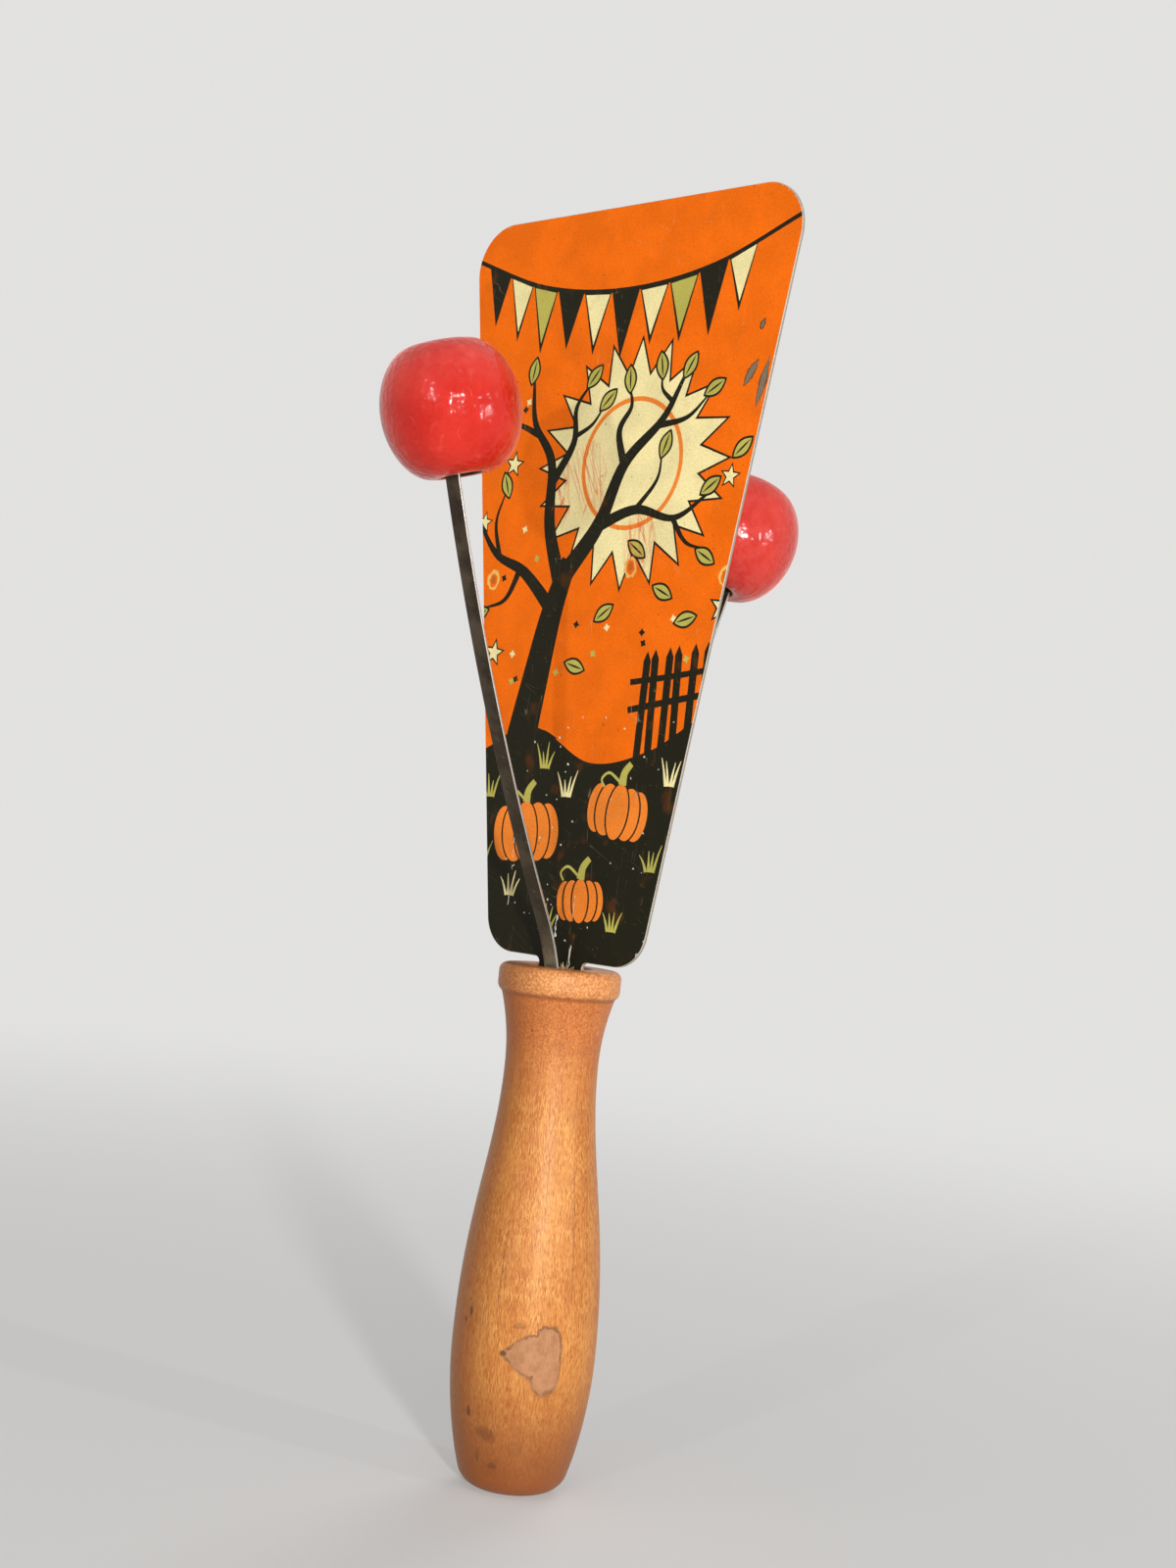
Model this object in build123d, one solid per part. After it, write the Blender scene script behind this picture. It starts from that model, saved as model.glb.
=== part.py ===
from build123d import *
from math import cos, degrees, radians, sin, sqrt
import os

# A hand-held clapper: a printed tin plate on a turned handle, with a ball on a leaf spring at each face.
# Lengths are millimetres and angles are degrees. The handle's axis is Z, its butt stands on z = 0, and
# the plate's front faces -Y. The front arm is drawn once and mirrored for the back, with its own reach.

# Turned handle
HANDLE_LENGTH = 86.0
BUTT_DIAMETER = 16.6  # across the end face before its edge is rounded
BUTT_ROUND = 4.0
BELLY_DIAMETER = 23.9
BELLY_HEIGHT = 23.0
NECK_DIAMETER = 15.5
NECK_BELOW_RIM = 16.2
GRIP_SWELL = 0.47  # how far the belly's fullness reaches, as a share of the way to the neck
GRIP_HOLLOW = 0.33  # how far the neck's hollow reaches, as a share of the way to the belly
COLLAR_DIAMETER = 18.9  # crease between the flare and the rim
RIM_DIAMETER = 20.4
RIM_HEIGHT = 4.7
RIM_TOP_ROUND = 1.3
RIM_UNDER_RISE = 0.6  # of the slope from the crease out to the rim
RIM_UNDER_ROUND = 1.7
SOCKET_DIAMETER = 10.0
SOCKET_DEPTH = 28.0
MOUTH_CHAMFER = 0.4

# Tin plate
PLATE_HEIGHT = 127.0
PLATE_TOP_WIDTH = 75.4  # between the sides, carried on to the top edge
PLATE_BOTTOM_WIDTH = 34.5  # between the sides, carried on to the bottom edge
PLATE_THICKNESS = 0.6
TOP_CORNER_RADIUS = 8.0
BOTTOM_CORNER_RADIUS = 6.5
PLATE_GAP = 1.2  # from the handle's rim to the plate's bottom edge
TANG_FILLET = 1.0
TANG_CHAMFER = 1.5
SEAT_DEPTH = 0.1  # pressed into each face of the tang for the strip
SEAT_RISE = 9.0  # full-depth seat above the plate's bottom edge
SEAT_RUN_OUT = 3.5

# Spring strips
STRIP_WIDTH = 3.0
STRIP_THICKNESS = 0.45
CLAMP_DEPTH = 12.5  # below the rim, where the strip starts to bend
BEND_RADIUS = 43.0
SPLAY = 28.6
BOW_RADIUS = 431.0  # slow bend back towards the plate
FRONT_REACH = 73.7  # bowed length, up to the ball
REAR_REACH = 65.2
FRONT_BALL_TILT = (-4.3, -7.5)  # ball's axis against its strip's end: out and towards +X at its top
REAR_BALL_TILT = (0.0, 4.5)

# Balls and their pegs
BALL_DIAMETER = 22.1
BALL_LENGTH = 20.6
BALL_FLAT_DIAMETER = 8.6
BALL_FULLNESS = 0.53  # share of each quarter's sides that its curve follows
BALL_BORE = 6.4
BORE_ROUND = 0.4
BALL_OFFSET = 1.6  # from the strip's end to the ball's axis, towards the plate
PEG_LENGTH = 12.0
PEG_RECESS = 0.3
PEG_GRIP = 5.0  # length of strip held in the peg's slot

# Wedges and nail
WEDGE_TOP_DEPTH = 0.8
WEDGE_TAPER = 2.9  # thinned at the top, so that the strip can lean out
WEDGE_FLOOR_GAP = 1.6
BRAD_DIAMETER = 1.4
BRAD_HEAD_DIAMETER = 3.2
BRAD_HEAD_THICKNESS = 0.6
BRAD_HEAD_SINK = 0.2
BRAD_POINT = 1.4
BRAD_COVER = 0.9  # wood left beyond the nail's point

# Clearances
SOCKET_FIT = 0.05  # tang and wedges in the socket, on the radius
FLOOR_GAP = 1.0  # tang and strips above the socket's floor
SEAT_FIT = 0.1  # each side of a strip in its seat
CLAMP_FIT = 0.02  # each face of a clamped strip
PEG_FIT = 0.04  # peg in its bore, on the radius
BRAD_FIT = 0.05  # nail in its holes, on the radius

# Heights and radii that follow from these
crease_height = HANDLE_LENGTH - RIM_HEIGHT
neck_height = HANDLE_LENGTH - NECK_BELOW_RIM
clamp_height = HANDLE_LENGTH - CLAMP_DEPTH
socket_radius = SOCKET_DIAMETER / 2
socket_floor = HANDLE_LENGTH - SOCKET_DEPTH
plate_bottom = HANDLE_LENGTH + PLATE_GAP
tang_bottom = socket_floor + FLOOR_GAP
tang_width = 2 * sqrt((socket_radius - SOCKET_FIT) ** 2 - (PLATE_THICKNESS / 2) ** 2)
seat_face = PLATE_THICKNESS / 2 - SEAT_DEPTH
strip_line = seat_face + CLAMP_FIT + STRIP_THICKNESS / 2
wedge_face = strip_line + STRIP_THICKNESS / 2 + CLAMP_FIT
brad_hole_radius = BRAD_DIAMETER / 2 + BRAD_FIT
brad_head_face = NECK_DIAMETER / 2 - BRAD_HEAD_SINK
brad_seat = brad_head_face - BRAD_HEAD_THICKNESS
brad_tip = NECK_DIAMETER / 2 - BRAD_COVER
peg_start = BALL_LENGTH / 2 - PEG_RECESS - PEG_LENGTH

# Front arm's own plane: its first axis points out from the plate, its second up
ARM_PLANE = Plane((0, 0, 0), x_dir=(0, -1, 0), z_dir=(-1, 0, 0))


def rod_along_y(radius, start, end, height):
    """Round bar from y = start to y = end at one height."""
    place = Plane((0, start, height), x_dir=(1, 0, 0), z_dir=(0, 1, 0))
    return place * Cylinder(radius, end - start, align=(Align.CENTER, Align.CENTER, Align.MIN))


def brad_hole():
    return rod_along_y(brad_hole_radius, -brad_tip - BRAD_FIT, brad_head_face, neck_height)


def ring_edges(solid, radius, height):
    """Circular edges of a turned solid at one radius and height."""
    rings = solid.edges().filter_by(GeomType.CIRCLE)
    return rings.filter_by(lambda e: abs(e.radius - radius) < 0.01 and abs(e.center().Z - height) < 0.01)


def turned_handle():
    """Ogee grip, flared neck and rounded rim, bored for the tang and cross-bored for the nail."""
    butt = Vector(BUTT_DIAMETER / 2, 0)
    belly = Vector(BELLY_DIAMETER / 2, BELLY_HEIGHT)
    neck = Vector(NECK_DIAMETER / 2, neck_height)
    grip_rise = Vector(0, neck_height - BELLY_HEIGHT)
    collar = Vector(COLLAR_DIAMETER / 2, crease_height)
    rim_underside = crease_height + RIM_UNDER_RISE
    outline = Curve() + [
        Bezier(butt, (belly.X, BELLY_HEIGHT / 2), belly),
        Bezier(belly, belly + grip_rise * GRIP_SWELL, neck - grip_rise * GRIP_HOLLOW, neck),
        TangentArc(neck, collar, tangent=(0, 1)),
        Polyline(
            collar,
            (RIM_DIAMETER / 2, rim_underside),
            (RIM_DIAMETER / 2, HANDLE_LENGTH),
            (0, HANDLE_LENGTH),
            (0, 0),
            butt,
        ),
    ]
    handle = revolve(Plane.XZ * make_face(outline.edges()), Axis.Z)
    handle = fillet(ring_edges(handle, BUTT_DIAMETER / 2, 0), BUTT_ROUND)
    handle = fillet(ring_edges(handle, RIM_DIAMETER / 2, HANDLE_LENGTH), RIM_TOP_ROUND)
    handle = fillet(ring_edges(handle, RIM_DIAMETER / 2, rim_underside), RIM_UNDER_ROUND)
    from_floor = (Align.CENTER, Align.CENTER, Align.MIN)
    handle -= Pos(0, 0, socket_floor) * Cylinder(socket_radius, SOCKET_DEPTH, align=from_floor)
    handle = chamfer(ring_edges(handle, socket_radius, HANDLE_LENGTH), MOUTH_CHAMFER)
    head_pocket = BRAD_HEAD_DIAMETER / 2 + BRAD_FIT
    handle -= rod_along_y(head_pocket, brad_seat, NECK_DIAMETER, neck_height)
    return handle - brad_hole()


def seat_cut():
    """Shallow groove in the front face of the tang that fades out on the plate."""
    face = PLATE_THICKNESS / 2
    clear = PLATE_THICKNESS
    ramp_start = plate_bottom + SEAT_RISE
    outline = Polyline(
        (clear, tang_bottom - clear),
        (seat_face, tang_bottom - clear),
        (seat_face, ramp_start),
        (face, ramp_start + SEAT_RUN_OUT),
        (clear, ramp_start + SEAT_RUN_OUT),
        close=True,
    )
    return extrude(ARM_PLANE * make_face(outline), STRIP_WIDTH / 2 + SEAT_FIT, both=True)


def tin_plate():
    """Tapering sheet with round corners, and a tang with a strip seat in each face."""
    half_top = PLATE_TOP_WIDTH / 2
    half_bottom = PLATE_BOTTOM_WIDTH / 2
    tang_length = plate_bottom - tang_bottom
    sides = Polyline(
        (-half_bottom, 0),
        (half_bottom, 0),
        (half_top, PLATE_HEIGHT),
        (-half_top, PLATE_HEIGHT),
        close=True,
    )
    sheet = make_face(sides)
    sheet = fillet(sheet.vertices().group_by(Axis.Y)[-1], TOP_CORNER_RADIUS)
    sheet = fillet(sheet.vertices().group_by(Axis.Y)[0], BOTTOM_CORNER_RADIUS)
    from_top = (Align.CENTER, Align.MAX)
    tang = Rectangle(tang_width, tang_length, align=from_top)
    tang = chamfer(tang.vertices().group_by(Axis.Y)[0], TANG_CHAMFER)
    sheet += tang
    roots = sheet.vertices().filter_by(lambda v: abs(v.Y) < 0.01 and abs(abs(v.X) - tang_width / 2) < 0.01)
    sheet = fillet(roots, TANG_FILLET)
    upright = Plane((0, 0, plate_bottom), x_dir=(1, 0, 0), z_dir=(0, -1, 0))
    plate = extrude(upright * sheet, PLATE_THICKNESS / 2, both=True)
    plate -= seat_cut()
    plate -= mirror(seat_cut(), about=Plane.XZ)
    return plate - brad_hole()


def step_off(point, lean, along, across):
    """Point reached from another by going along a line that leans out by an angle, then out across it."""
    ahead = Vector(sin(radians(lean)), cos(radians(lean)))
    aside = Vector(cos(radians(lean)), -sin(radians(lean)))
    return point + ahead * along + aside * across


def arm_stations(reach):
    """Places on a strip's middle line in the arm's plane, and the lean of its straight end."""
    clamp = Vector(strip_line, clamp_height)
    bend_centre = step_off(clamp, 0, 0, BEND_RADIUS)
    bow_start = step_off(bend_centre, SPLAY, 0, -BEND_RADIUS)
    bow_centre = step_off(bow_start, SPLAY, 0, -BOW_RADIUS)
    lean = SPLAY - degrees(reach / BOW_RADIUS)
    entry = step_off(bow_centre, lean, 0, BOW_RADIUS)
    ball = step_off(entry, lean, BALL_LENGTH / 2, -BALL_OFFSET)
    tip = step_off(ball, lean, peg_start + PEG_GRIP, BALL_OFFSET)
    return {
        "bend_centre": bend_centre,
        "bow_centre": bow_centre,
        "lean": lean,
        "entry": entry,
        "ball": ball,
        "tip": tip,
    }


def strip_lane(at, across):
    """Line beside the strip's middle line, from the tail to the tip."""
    tail = Line((strip_line + across, tang_bottom), (strip_line + across, clamp_height))
    bend = CenterArc(at["bend_centre"], BEND_RADIUS - across, 180, -SPLAY)
    bow = CenterArc(at["bow_centre"], BOW_RADIUS + across, -SPLAY, SPLAY - at["lean"])
    end_start = step_off(at["entry"], at["lean"], 0, across)
    end = Line(end_start, step_off(at["tip"], at["lean"], 0, across))
    return [tail, bend, bow, end]


def spring_strip(reach):
    """Flat spring: a clamped tail, a bend out of the mouth, a slow bow and a straight end in the peg."""
    at = arm_stations(reach)
    half = STRIP_THICKNESS / 2
    inner = strip_lane(at, -half)
    outer = strip_lane(at, half)
    tail_end = Line(inner[0] @ 0, outer[0] @ 0)
    tip_end = Line(inner[-1] @ 1, outer[-1] @ 1)
    outline = Curve() + inner + outer + [tail_end, tip_end]
    strip = extrude(ARM_PLANE * make_face(outline.edges()), STRIP_WIDTH / 2, both=True)
    return strip - brad_hole()


def tilted_place(reach):
    """Place at the ball's centre, tilted out with the strip's end."""
    at = arm_stations(reach)
    centre = ARM_PLANE.from_local_coords(at["ball"])
    tilt = radians(at["lean"])
    return Plane(centre, x_dir=(1, 0, 0), z_dir=(0, -sin(tilt), cos(tilt))).location


def ball(reach, tilt):
    """Barrel-shaped bead with flat, rounded ends and a through bore."""
    half = BALL_LENGTH / 2
    girth = BALL_DIAMETER / 2
    flat = BALL_FLAT_DIAMETER / 2
    bore = BALL_BORE / 2
    shoulder = flat + BALL_FULLNESS * (girth - flat)
    rise = BALL_FULLNESS * half
    outline = Curve() + [
        Bezier((flat, -half), (shoulder, -half), (girth, -rise), (girth, 0)),
        Bezier((girth, 0), (girth, rise), (shoulder, half), (flat, half)),
        Polyline((flat, half), (bore, half), (bore, -half), (flat, -half)),
    ]
    bead = revolve(Plane.XZ * make_face(outline.edges()), Axis.Z)
    bead = fillet(ring_edges(bead, bore, half) + ring_edges(bead, bore, -half), BORE_ROUND)
    return tilted_place(reach) * Rot(*tilt, 0) * bead


def ball_peg(reach, tilt):
    """Round peg in the bore, driven in from the far side, with a slot that grips the strip's end."""
    radius = BALL_BORE / 2 - PEG_FIT
    from_start = (Align.CENTER, Align.CENTER, Align.MIN)
    peg = Rot(*tilt, 0) * Pos(0, 0, peg_start) * Cylinder(radius, PEG_LENGTH, align=from_start)
    slot_width = STRIP_WIDTH + 2 * PEG_FIT
    slot_gap = STRIP_THICKNESS + 2 * CLAMP_FIT
    from_end = (Align.CENTER, Align.CENTER, Align.MAX)
    slot = Box(slot_width, slot_gap, PEG_LENGTH, align=from_end)
    peg -= Pos(0, -BALL_OFFSET, peg_start + PEG_GRIP + PEG_FIT) * slot
    return tilted_place(reach) * peg


def wedge():
    """Half-round wedge between the front strip and the socket's wall, thinned towards the mouth."""
    bottom = socket_floor + WEDGE_FLOOR_GAP
    top = HANDLE_LENGTH - WEDGE_TOP_DEPTH
    radius = socket_radius - SOCKET_FIT
    from_bottom = (Align.CENTER, Align.CENTER, Align.MIN)
    dowel = Pos(0, 0, bottom) * Cylinder(radius, top - bottom, align=from_bottom)
    keep = Polyline(
        (wedge_face, bottom),
        (socket_radius, bottom),
        (socket_radius, top),
        (wedge_face + WEDGE_TAPER, top),
        (wedge_face, clamp_height),
        close=True,
    )
    half = dowel & extrude(ARM_PLANE * make_face(keep), socket_radius, both=True)
    return half - brad_hole()


def tang_brad():
    """Flat-headed nail driven in from the back of the neck."""
    shank_end = -(brad_tip - BRAD_POINT)
    shank = rod_along_y(BRAD_DIAMETER / 2, shank_end, brad_seat, neck_height)
    head = rod_along_y(BRAD_HEAD_DIAMETER / 2, brad_seat, brad_head_face, neck_height)
    point_place = Plane((0, shank_end, neck_height), x_dir=(1, 0, 0), z_dir=(0, -1, 0))
    from_shank = (Align.CENTER, Align.CENTER, Align.MIN)
    point = point_place * Cone(BRAD_DIAMETER / 2, 0, BRAD_POINT, align=from_shank)
    return shank + head + point


def to_back(piece):
    return mirror(piece, about=Plane.XZ)


pieces = {
    "handle": turned_handle(),
    "tin_plate": tin_plate(),
    "front_spring_strip": spring_strip(FRONT_REACH),
    "rear_spring_strip": to_back(spring_strip(REAR_REACH)),
    "front_ball": ball(FRONT_REACH, FRONT_BALL_TILT),
    "rear_ball": to_back(ball(REAR_REACH, REAR_BALL_TILT)),
    "front_ball_peg": ball_peg(FRONT_REACH, FRONT_BALL_TILT),
    "rear_ball_peg": to_back(ball_peg(REAR_REACH, REAR_BALL_TILT)),
    "front_wedge": wedge(),
    "rear_wedge": to_back(wedge()),
    "tang_brad": tang_brad(),
}

os.makedirs("parts", exist_ok=True)
for name, piece in pieces.items():
    export_step(piece, os.path.join("parts", name + ".step"))

pivot_out = strip_line + BEND_RADIUS - sqrt(BEND_RADIUS**2 - CLAMP_DEPTH**2)
print(f"hinge at the mouth: y = {-pivot_out:.3f} and {pivot_out:.3f}, z = {HANDLE_LENGTH:.3f}")
for side, reach in (("front", FRONT_REACH), ("rear", REAR_REACH)):
    stations = arm_stations(reach)
    print(side, "ball centre, out and up:", round(stations["ball"].X, 2), round(stations["ball"].Y, 2))
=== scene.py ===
# %% [markdown]
# A hand clapper: a printed tin plate on a turned handle, with a red ball on a leaf spring at each face.
# The solid model comes in first, as the fixed frame. Everything after it is dressing in that same frame,
# so each new piece is made at the place and size that the frame gives, in metres.

# %% Load the frame
import math
import random

import bmesh
import bpy
import numpy as np
from mathutils import Matrix, Vector
from mathutils.geometry import delaunay_2d_cdt


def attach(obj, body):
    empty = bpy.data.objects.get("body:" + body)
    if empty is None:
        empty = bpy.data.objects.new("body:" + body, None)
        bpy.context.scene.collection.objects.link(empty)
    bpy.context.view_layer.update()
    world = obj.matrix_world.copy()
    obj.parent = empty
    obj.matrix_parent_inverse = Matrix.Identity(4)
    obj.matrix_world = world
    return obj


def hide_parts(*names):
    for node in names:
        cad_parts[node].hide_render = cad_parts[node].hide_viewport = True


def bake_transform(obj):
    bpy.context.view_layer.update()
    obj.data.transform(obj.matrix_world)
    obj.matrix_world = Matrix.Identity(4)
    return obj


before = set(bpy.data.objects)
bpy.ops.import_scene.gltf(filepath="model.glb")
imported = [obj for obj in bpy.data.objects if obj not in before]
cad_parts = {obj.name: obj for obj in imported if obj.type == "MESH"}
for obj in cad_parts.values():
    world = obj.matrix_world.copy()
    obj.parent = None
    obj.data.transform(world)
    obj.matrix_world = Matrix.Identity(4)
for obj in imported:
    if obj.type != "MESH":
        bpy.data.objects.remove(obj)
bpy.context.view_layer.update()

MM = 0.001
for name in ("Cube", "Light", "Camera"):
    if name in bpy.data.objects:
        bpy.data.objects.remove(bpy.data.objects[name])


def new_object(name, data):
    thing = bpy.data.objects.new(name, data)
    bpy.context.scene.collection.objects.link(thing)
    return thing


print("frame nodes:", sorted(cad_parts))

# %% [markdown]
# The camera stands where the photograph was taken from: to the right of the plate's face, a little higher
# than the handle's rim, and rolled by a few degrees. It could be aimed by hand until it looks right. Its
# place was worked out from the plate's straight sides instead, so a render lies over the photograph. Its
# axes point right, up and back towards the viewer, and they are the columns of the turning matrix.

# %% Camera
camera = new_object("camera", bpy.data.cameras.new("camera"))
camera.data.lens = 49.9
camera.data.sensor_width = 36.0
camera.data.clip_start = 0.01
right = Vector((0.72996, 0.67648, 0.09759))
up = Vector((-0.05577, -0.08335, 0.99496))
back = Vector((0.68121, -0.73172, -0.02312))
turn = Matrix((right, up, back)).transposed().to_4x4()
camera.matrix_world = Matrix.Translation((0.24797, -0.26416, 0.10831)) @ turn
bpy.context.scene.camera = camera
bpy.context.scene.view_settings.view_transform = "Standard"
print("camera at", [round(v, 3) for v in camera.location])

# %% [markdown]
# Node trees are easier to read when one short helper adds a node, sets it up and wires its inputs.
# An input may be a plain value or another node's output. The same helper serves shaders and geometry.
# Sums, mixes and noise come up all the time, so each has a short name of its own.

# %% Node helpers
def wire(tree, node, inputs):
    """Set a node's inputs: another node's output is linked, a plain value is written on the socket."""
    for key, value in inputs.items():
        if isinstance(value, bpy.types.NodeSocket):
            tree.links.new(value, node.inputs[key])
        else:
            node.inputs[key].default_value = value


def add(tree, kind, settings=None, inputs=None):
    node = tree.nodes.new(kind)
    for key, value in (settings or {}).items():
        setattr(node, key, value)
    wire(tree, node, inputs or {})
    return node


def math_node(tree, operation, first, second=0.0, clamp=False):
    settings = {"operation": operation, "use_clamp": clamp}
    return add(tree, "ShaderNodeMath", settings, {0: first, 1: second}).outputs[0]


def times(tree, first, second):
    return math_node(tree, "MULTIPLY", first, second)


def plus(tree, first, second, clamp=False):
    return math_node(tree, "ADD", first, second, clamp)


def minus(tree, first, second, clamp=False):
    return math_node(tree, "SUBTRACT", first, second, clamp)


def largest(tree, values):
    found = values[0]
    for value in values[1:]:
        found = math_node(tree, "MAXIMUM", found, value)
    return found


print("helpers for single nodes ready")

# %% Helpers for colours and patterns
def rgb(red, green, blue):
    return (red, green, blue, 1.0)


def mix_colour(tree, share, first, second):
    return add(tree, "ShaderNodeMix", {"data_type": "RGBA"}, {0: share, 6: first, 7: second}).outputs[2]


def stain(tree, colour, mask, strength, towards):
    """A colour that moves towards another one where a mask is, by at most a strength."""
    return mix_colour(tree, times(tree, mask, strength), colour, towards)


def ramp(tree, value, low, high, to_low=0.0, to_high=1.0):
    inputs = {0: value, 1: low, 2: high, 3: to_low, 4: to_high}
    return add(tree, "ShaderNodeMapRange", {"interpolation_type": "SMOOTHSTEP"}, inputs).outputs[0]


def noise(tree, place, scale, detail):
    inputs = {"Vector": place, "Scale": scale, "Detail": detail}
    return add(tree, "ShaderNodeTexNoise", inputs=inputs).outputs[0]


def parts_of(tree, vector):
    return add(tree, "ShaderNodeSeparateXYZ", inputs={0: vector}).outputs


def vector_of(tree, x, y=0.0, z=0.0):
    return add(tree, "ShaderNodeCombineXYZ", inputs={0: x, 1: y, 2: z}).outputs[0]


def vector_times(tree, vector, number):
    inputs = {0: vector, "Scale": number}
    return add(tree, "ShaderNodeVectorMath", {"operation": "SCALE"}, inputs).outputs[0]


print("helpers for colours and patterns ready")

# %% [markdown]
# The studio is a wide pale floor under the handle's butt. Close to the object it is an ordinary matt floor
# that takes shadows. Further out it fades into the same pale tone as the world, so that no horizon shows.
# A curved sheet behind the object would hide the horizon too, but only from one side.
# Only the camera and reflections see that pale tone: the world's light on the object is much weaker.

# %% Floor
BACKDROP = rgb(0.76, 0.755, 0.745)
FLOOR_RADIUS, FLOOR_CORNERS = 9.0, 64


def seen_directly(tree):
    path = add(tree, "ShaderNodeLightPath").outputs
    return largest(tree, [path["Is Camera Ray"], path["Is Glossy Ray"], path["Is Transmission Ray"]])


floor_mesh = bpy.data.meshes.new("floor")
turns = [k * math.tau / FLOOR_CORNERS for k in range(FLOOR_CORNERS)]
floor_rim = [(FLOOR_RADIUS * math.cos(a), FLOOR_RADIUS * math.sin(a), 0) for a in turns]
floor_mesh.from_pydata(floor_rim, [], [list(range(FLOOR_CORNERS))])
floor = new_object("floor", floor_mesh)

floor_paint = bpy.data.materials.new("studio_floor")
floor_paint.use_nodes = True
tree = floor_paint.node_tree
shader = tree.nodes["Principled BSDF"]
place = add(tree, "ShaderNodeTexCoord").outputs["Object"]
cloud = noise(tree, place, scale=5.0, detail=4.0)
tone = mix_colour(tree, cloud, rgb(0.80, 0.795, 0.785), rgb(0.83, 0.825, 0.815))
wire(tree, shader, {"Base Color": tone, "Roughness": 0.9, "Specular IOR Level": 0.1})
away = add(tree, "ShaderNodeVectorMath", {"operation": "LENGTH"}, {0: place}).outputs["Value"]
far = times(tree, ramp(tree, away, 0.10, 0.70, 0.30, 1.0), seen_directly(tree))
glow = add(tree, "ShaderNodeEmission", inputs={"Color": BACKDROP, "Strength": 1.0}).outputs[0]
faded = add(tree, "ShaderNodeMixShader", inputs={0: far, 1: shader.outputs[0], 2: glow}).outputs[0]
tree.links.new(faded, tree.nodes["Material Output"].inputs["Surface"])
floor_mesh.materials.append(floor_paint)
print("floor made,", 2 * FLOOR_RADIUS, "m across")

# %% World
world = bpy.data.worlds.new("studio")
bpy.context.scene.world = world
world.use_nodes = True
tree = world.node_tree
tree.nodes.clear()
LIGHT = rgb(1.0, 0.985, 0.96)
soft = add(tree, "ShaderNodeBackground", inputs={"Color": LIGHT, "Strength": 0.13}).outputs[0]
pale = add(tree, "ShaderNodeBackground", inputs={"Color": BACKDROP, "Strength": 1.0}).outputs[0]
both = add(tree, "ShaderNodeMixShader", inputs={0: seen_directly(tree), 1: soft, 2: pale}).outputs[0]
add(tree, "ShaderNodeOutputWorld", inputs={"Surface": both})
print("world made")

# %% [markdown]
# Three lamps stand low round the viewer, small enough to leave a tight glint on the enamel, as the room's
# lamps do in the photograph. A wide one overhead and one behind only soften the shadows, so they are kept
# out of reflections.

# %% Lamps
AIM = Vector((0.0, -0.01, 0.13))


def lamp(name, azimuth, elevation, distance, width, watts, glints):
    data = bpy.data.lights.new(name, "AREA")
    data.shape = "DISK"
    data.size = width
    data.energy = watts
    turned = math.radians(azimuth)
    raised = math.radians(elevation)
    level = math.cos(raised)
    out = Vector((math.sin(turned) * level, -math.cos(turned) * level, math.sin(raised)))
    thing = new_object(name, data)
    thing.location = AIM + out * distance
    thing.rotation_mode = "QUATERNION"
    thing.rotation_quaternion = out.to_track_quat("Z", "Y")
    thing.visible_glossy = glints


# Name, azimuth, elevation, distance, width, watts, and whether reflections show it
for settings in (
    ("left_lamp", 14, 5, 1.40, 0.048, 3.2, True),
    ("near_lamp", 57, 6, 1.40, 0.10, 17.0, True),
    ("right_lamp", 103, 4, 1.40, 0.050, 4.6, True),
    ("overhead_lamp", 20, 78, 1.60, 1.20, 4.5, False),
    ("back_lamp", 200, 20, 1.10, 0.70, 4.5, False),
):
    lamp(*settings)
    print("made", settings[0])

# %% [markdown]
# Wood, print, steel and enamel all wear in the same few ways, so each effect is one shader group: long
# streaks, specks of any size, and hairline scratches. They take a place in millimetres and give a mask.

# %% Shared surface effects
PLACE = ("Place", "NodeSocketVector", None)
NUMBER = "NodeSocketFloat"


def new_tree(kind, name, inputs, output):
    """A node tree with named inputs and one output, and the sockets that its inputs give."""
    tree = bpy.data.node_groups.new(name, kind)
    for label, socket_kind, value in inputs:
        socket = tree.interface.new_socket(label, in_out="INPUT", socket_type=socket_kind)
        if value is not None:
            socket.default_value = value
    tree.interface.new_socket(output[0], in_out="OUTPUT", socket_type=output[1])
    return tree, add(tree, "NodeGroupInput").outputs


def new_effect(name, **sizes):
    """A shader group that takes a place and some sizes, and gives a mask."""
    inputs = [PLACE] + [(label, NUMBER, value) for label, value in sizes.items()]
    return new_tree("ShaderNodeTree", name, inputs, ("Mask", NUMBER))


def drawn_out(tree, given):
    """The place, scaled by one number across and by another along."""
    pull = vector_of(tree, given["Across"], given["Across"], given["Along"])
    inputs = {0: given["Place"], 1: pull}
    return add(tree, "ShaderNodeVectorMath", {"operation": "MULTIPLY"}, inputs).outputs[0]


streaks, given = new_effect("streaks", Across=3.0, Along=0.4, Detail=3.0)
inputs = {"Vector": drawn_out(streaks, given), "Scale": 1.0, "Detail": given["Detail"], "Roughness": 0.62}
grain = add(streaks, "ShaderNodeTexNoise", inputs=inputs).outputs[0]
add(streaks, "NodeGroupOutput", inputs={"Mask": grain})

specks, given = new_effect("specks", Size=0.5, Share=0.1, Softness=0.05)
dots = noise(specks, given["Place"], math_node(specks, "DIVIDE", 1.0, given["Size"]), 2.0)
edge = minus(specks, 0.75, given["Share"])
full = plus(specks, edge, given["Softness"])
add(specks, "NodeGroupOutput", inputs={"Mask": ramp(specks, dots, edge, full)})

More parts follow.
